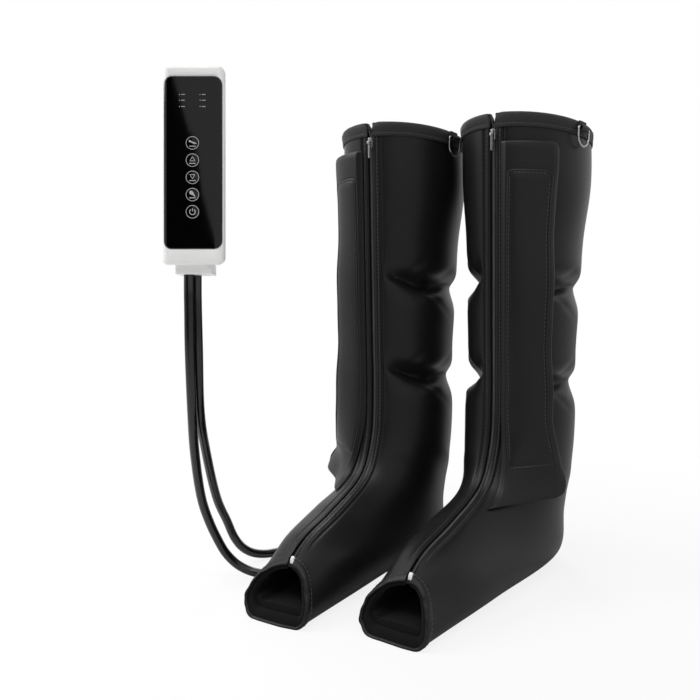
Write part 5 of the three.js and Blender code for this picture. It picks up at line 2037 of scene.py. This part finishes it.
    def build_keys(self) -> None:
        """Makes the five keys, each with its ring and its icon."""
        radius, rise = self.key_radius, self.key_rise
        low, high = rise - 0.01, rise + self.print_height
        icons = Icons(low, high)
        cap = lathe([
            (7.6, -3.1), (7.6, -2.4), (radius, -2.4), (radius, rise - 0.25), (radius - 0.08, rise - 0.08),
            (radius - 0.3, rise),
        ], 64)
        ring = ribbon(circle(radius - 0.65, 64), 0.55, low, high, True)
        drawn = (icons.foot(), icons.arrow(1), icons.arrow(-1), icons.calf(), icons.power())
        for name, height, marks in zip(self.icon_names, self.key_heights(), drawn):
            put = self.facing(self.front - self.panel_rise, height)
            add_piece(f"{name}_cap", cap.moved(put), GLOSS_FACE, name, [name], 30)
            add_piece(f"{name}_icon", ring.joined(*marks).moved(put), PRINT, name)

    def build_socket(self) -> None:
        """Makes the socket block that the hoses leave from."""
        width, deep, high = self.socket_size
        foot = self.socket_mouth + SEAT_GAP
        block = soft_plate(round_box(width, deep, 2.2, 6), foot, foot + high, 0.9)
        under_case = -self.height / 2 * self.taper(block.points[:, 1])[1]
        rise = (block.points[:, 2] - foot) / high * (under_case - 0.05 - foot - high)
        block.points[:, 2] += rise
        add_piece("hose_socket_block", block.moved(self.world), WHITE_PLASTIC, "base", ["hose_socket"], 35)

    def build(self) -> None:
        """Makes all pieces of the controller."""
        self.build_shells()
        self.build_face()
        self.build_keys()
        self.build_socket()


@dataclass
class Icons:
    """Plain marks printed on the keys, drawn about the key's middle between two levels."""

    low: float
    high: float

    def over_bar(self, outline: Pairs) -> list[Surface]:
        """Mark with smooth sides, filled inside an outline that runs to the left, over a short bar."""
        mark = smooth_outline(np.array(outline, float), 4)
        return [soft_plate(mark, self.low, self.high, 0.01, 1), self.lower_bar()]

    def lower_bar(self) -> Surface:
        """Short bar under an icon."""
        return soft_plate(round_box(6.2, 0.8, 0.35, 3) + [0, -3.1], self.low, self.high, 0.01, 1)

    def foot(self) -> list[Surface]:
        """Foot seen from its side."""
        return self.over_bar([
            (-3.4, 1.6), (-3.3, 0.9), (-1.2, 0.5), (1.2, -0.7), (3.4, -0.9), (3.7, -0.3), (1.6, 0.7),
            (-0.4, 1.4), (-2.2, 2.6), (-3.1, 2.6),
        ])

    def calf(self) -> list[Surface]:
        """Calf seen from its side."""
        return self.over_bar([
            (-2.6, 2.9), (-3, 1.6), (-1.9, 0.2), (0.3, -0.6), (2.2, -1.9), (2.9, -1.5), (1.6, 0.4),
            (0.9, 2.2), (-0.4, 3.6), (-1.8, 3.7),
        ])

    def arrow(self, way: int) -> list[Surface]:
        """Open triangle that points up for 1 and down for -1, over a short bar."""
        corners = np.array([[-2.4, 1 - 1.7 * way], [2.4, 1 - 1.7 * way], [0, 1 + 2.4 * way]])
        return [ribbon(side_points(corners, 8), 0.55, self.low, self.high, True), self.lower_bar()]

    def power(self) -> list[Surface]:
        """Broken ring with a stroke."""
        lines = (arc_points(2.7, 125, 415, 40), np.array([[0, 0.4], [0, 3.2]]))
        return [ribbon(line, 0.75, self.low, self.high) for line in lines]


def cut_holes(piece: Object, tools: Surface) -> None:
    """Cuts holes through a piece.

    Args:
        piece: The piece to cut.
        tools: Closed surfaces in the frame's place.
    """
    cutter = place_object("hole_tools", new_mesh("hole_tools", tools))
    modifier = piece.modifiers.new("holes", "BOOLEAN")
    modifier.operation = "DIFFERENCE"
    modifier.solver = "EXACT"
    modifier.object = cutter
    graph = bpy.context.evaluated_depsgraph_get()
    made = bpy.data.meshes.new_from_object(piece.evaluated_get(graph))
    piece.modifiers.clear()
    piece.data = made
    smooth_but(made, 30)
    bpy.data.objects.remove(cutter)


@dataclass
class Studio:
    """Camera, lamps, floor and cards round the massager."""

    camera_place: Triple = (430.71, -746.5, 335.6)
    azimuth: float = 33.88
    pitch: float = 5.105
    lens: float = 41.14
    sensor: float = 36
    middle: Triple = (0.0, 10.0, 250.0)
    # Place, size and power of the lamps: above left, above front, and behind
    lamps: dict[str, tuple[Triple, Pair, float]] = field(
        default_factory=lambda: {
            "key": ((-1300, -500, 1500), (900, 1300), 20),
            "top": ((200, -700, 1700), (1200, 700), 9),
            "rim": ((-900, 1100, 1100), (600, 1400), 8),
        }
    )
    ambient: float = 0.45
    floor_reach: float = 9.0
    floor_drop: float = 0.0005
    # Corners of the dark card across and up from the camera, and how far behind it the card stands
    card_corners: tuple[Pair, ...] = (
        (-1500, -900), (-12.5, -900), (-542, 1500), (-1500, 1500),
    )
    card_back: float = 5

    def build_camera(self) -> None:
        """Sets the camera where the photographer stood."""
        data = bpy.data.cameras.new("camera")
        data.lens = self.lens
        data.sensor_width = self.sensor
        camera = place_object("camera", data)
        camera.location = (Vector(self.camera_place) + Vector(FOOTPRINT_SHIFT)) * MM
        camera.rotation_euler = (math.radians(90 - self.pitch), 0, math.radians(self.azimuth))
        bpy.context.scene.camera = camera

    def build_lamps(self) -> None:
        """Adds the soft lamps, which all point at the massager."""
        for name, (place, size, power) in self.lamps.items():
            data = bpy.data.lights.new(name, "AREA")
            data.shape = "RECTANGLE"
            data.size, data.size_y = size[0] * MM, size[1] * MM
            data.energy = power
            lamp = place_object(name, data)
            lamp.location = Vector(place) * MM
            aim = (Vector(self.middle) - Vector(place)).normalized()
            lamp.rotation_euler = aim.to_track_quat("-Z", "Y").to_euler()

    def build_world(self) -> None:
        """Gives a white background and a plain grey ambient light."""
        world = bpy.data.worlds.new("studio")
        bpy.context.scene.world = world
        tree = NodeTree.of(world)
        path = tree.add("LightPath")
        seen = tree.maths("MAXIMUM", path["Is Camera Ray"], path["Is Glossy Ray"])
        through = tree.maths("MAXIMUM", seen, path["Is Transmission Ray"])
        strength = tree.add("MapRange", {"To Min": self.ambient, "To Max": 1.0, "Value": through})
        tree.feed("Background", {"Color": (1, 1, 1, 1), "Strength": strength["Result"]})

    def flat_piece(self, name: str, corners: list[Any], shader: dict[str, Any]) -> tuple[Any, NodeTree]:
        """Flat piece of the studio with a material of its own.

        Args:
            name: Name of the piece and of its material.
            corners: Corners in metres.
            shader: Values of its material.

        Returns:
            The piece and the nodes of its material.
        """
        mesh = bpy.data.meshes.new(name)
        mesh.from_pydata(corners, [], [tuple(range(len(corners)))])
        piece = place_object(name, mesh)
        material = bpy.data.materials.new(name)
        tree = NodeTree.of(material)
        tree.feed("Principled BSDF", shader)
        mesh.materials.append(material)
        return piece, tree

    def build_floor(self) -> None:
        """Adds a pale floor that keeps the shadow and fades into the background."""
        reach = self.floor_reach
        corners = [(-reach, -reach, 0), (reach, -reach, 0), (reach, reach, 0), (-reach, reach, 0)]
        floor, tree = self.flat_piece("floor", corners, {
            "Base Color": (0.9, 0.9, 0.9, 1), "Roughness": 0.9, "Specular IOR Level": 0.1,
        })
        floor.location.z = -self.floor_drop
        place = tree.add("TexCoord")["Object"]
        distance = tree.add("VectorMath", {0: place}, operation="LENGTH")["Value"]
        ends = {"From Min": 0.25, "From Max": 0.9, "To Min": 0.84}
        fade = tree.add("MapRange", {**ends, "Value": distance}, interpolation_type="SMOOTHSTEP")
        seen = tree.maths("MULTIPLY", fade["Result"], tree.add("LightPath")["Is Camera Ray"])
        shaded = tree.tree.nodes["Principled BSDF"].outputs[0]
        white = tree.add("Emission", {"Strength": 1.0})[0]
        mix = tree.add("MixShader", {"Fac": seen, 1: shaded, 2: white})
        tree.feed("Material Output", {"Surface": mix[0]})

    def build_card(self) -> None:
        """Adds a black card beside the camera that gives the gloss face its dark side."""
        turn, pitch = math.radians(self.azimuth), math.radians(self.pitch)
        level = np.array([math.sin(turn), -math.cos(turn), 0])
        right = np.array([math.cos(turn), math.sin(turn), 0])
        behind = level * math.cos(pitch) + [0, 0, math.sin(pitch)]
        up = np.array([0, 0, math.cos(pitch)]) - level * math.sin(pitch)
        origin = np.array(self.camera_place) + FOOTPRINT_SHIFT + behind * self.card_back
        points = [tuple((origin + right * u + up * v) * MM) for u, v in self.card_corners]
        card, _ = self.flat_piece("dark_card", points, {
            "Base Color": (0.0, 0.0, 0.0, 1), "Specular IOR Level": 0.0,
        })
        for ray in ("camera", "diffuse", "shadow", "transmission"):
            setattr(card, f"visible_{ray}", False)

    def build(self) -> None:
        """Makes the whole studio, camera first."""
        self.build_camera()
        self.build_lamps()
        self.build_world()
        self.build_floor()
        self.build_card()
        bpy.context.scene.view_settings.view_transform = "Standard"


def dress_carried_over(nodes: dict[str, Object]) -> None:
    """Gives the solids that stay, found by name, their own finishes.

    Args:
        nodes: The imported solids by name.
    """
    for name, finish in CARRIED_OVER.items():
        solid = nodes[name]
        if not solid.material_slots:
            solid.data.materials.append(None)
        for material_slot in solid.material_slots:
            material_slot.material = finish.material()


def main() -> None:
    """Makes the studio, the hoses, the boots and the controller round the frame."""
    logging.basicConfig(level=logging.INFO, format="%(name)s: %(message)s")
    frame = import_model()
    studio = Studio()
    studio.build()
    controller = Controller()
    left, right = Boot("left", 1), Boot("right", -1, corner_curl=13)
    for boot in (left, right):
        HOSES[boot.prefix].build(boot, controller)
    for boot in (left, right):
        boot.build()
    controller.build()
    dress_carried_over(frame["nodes"])


if __name__ == "__main__":
    main()
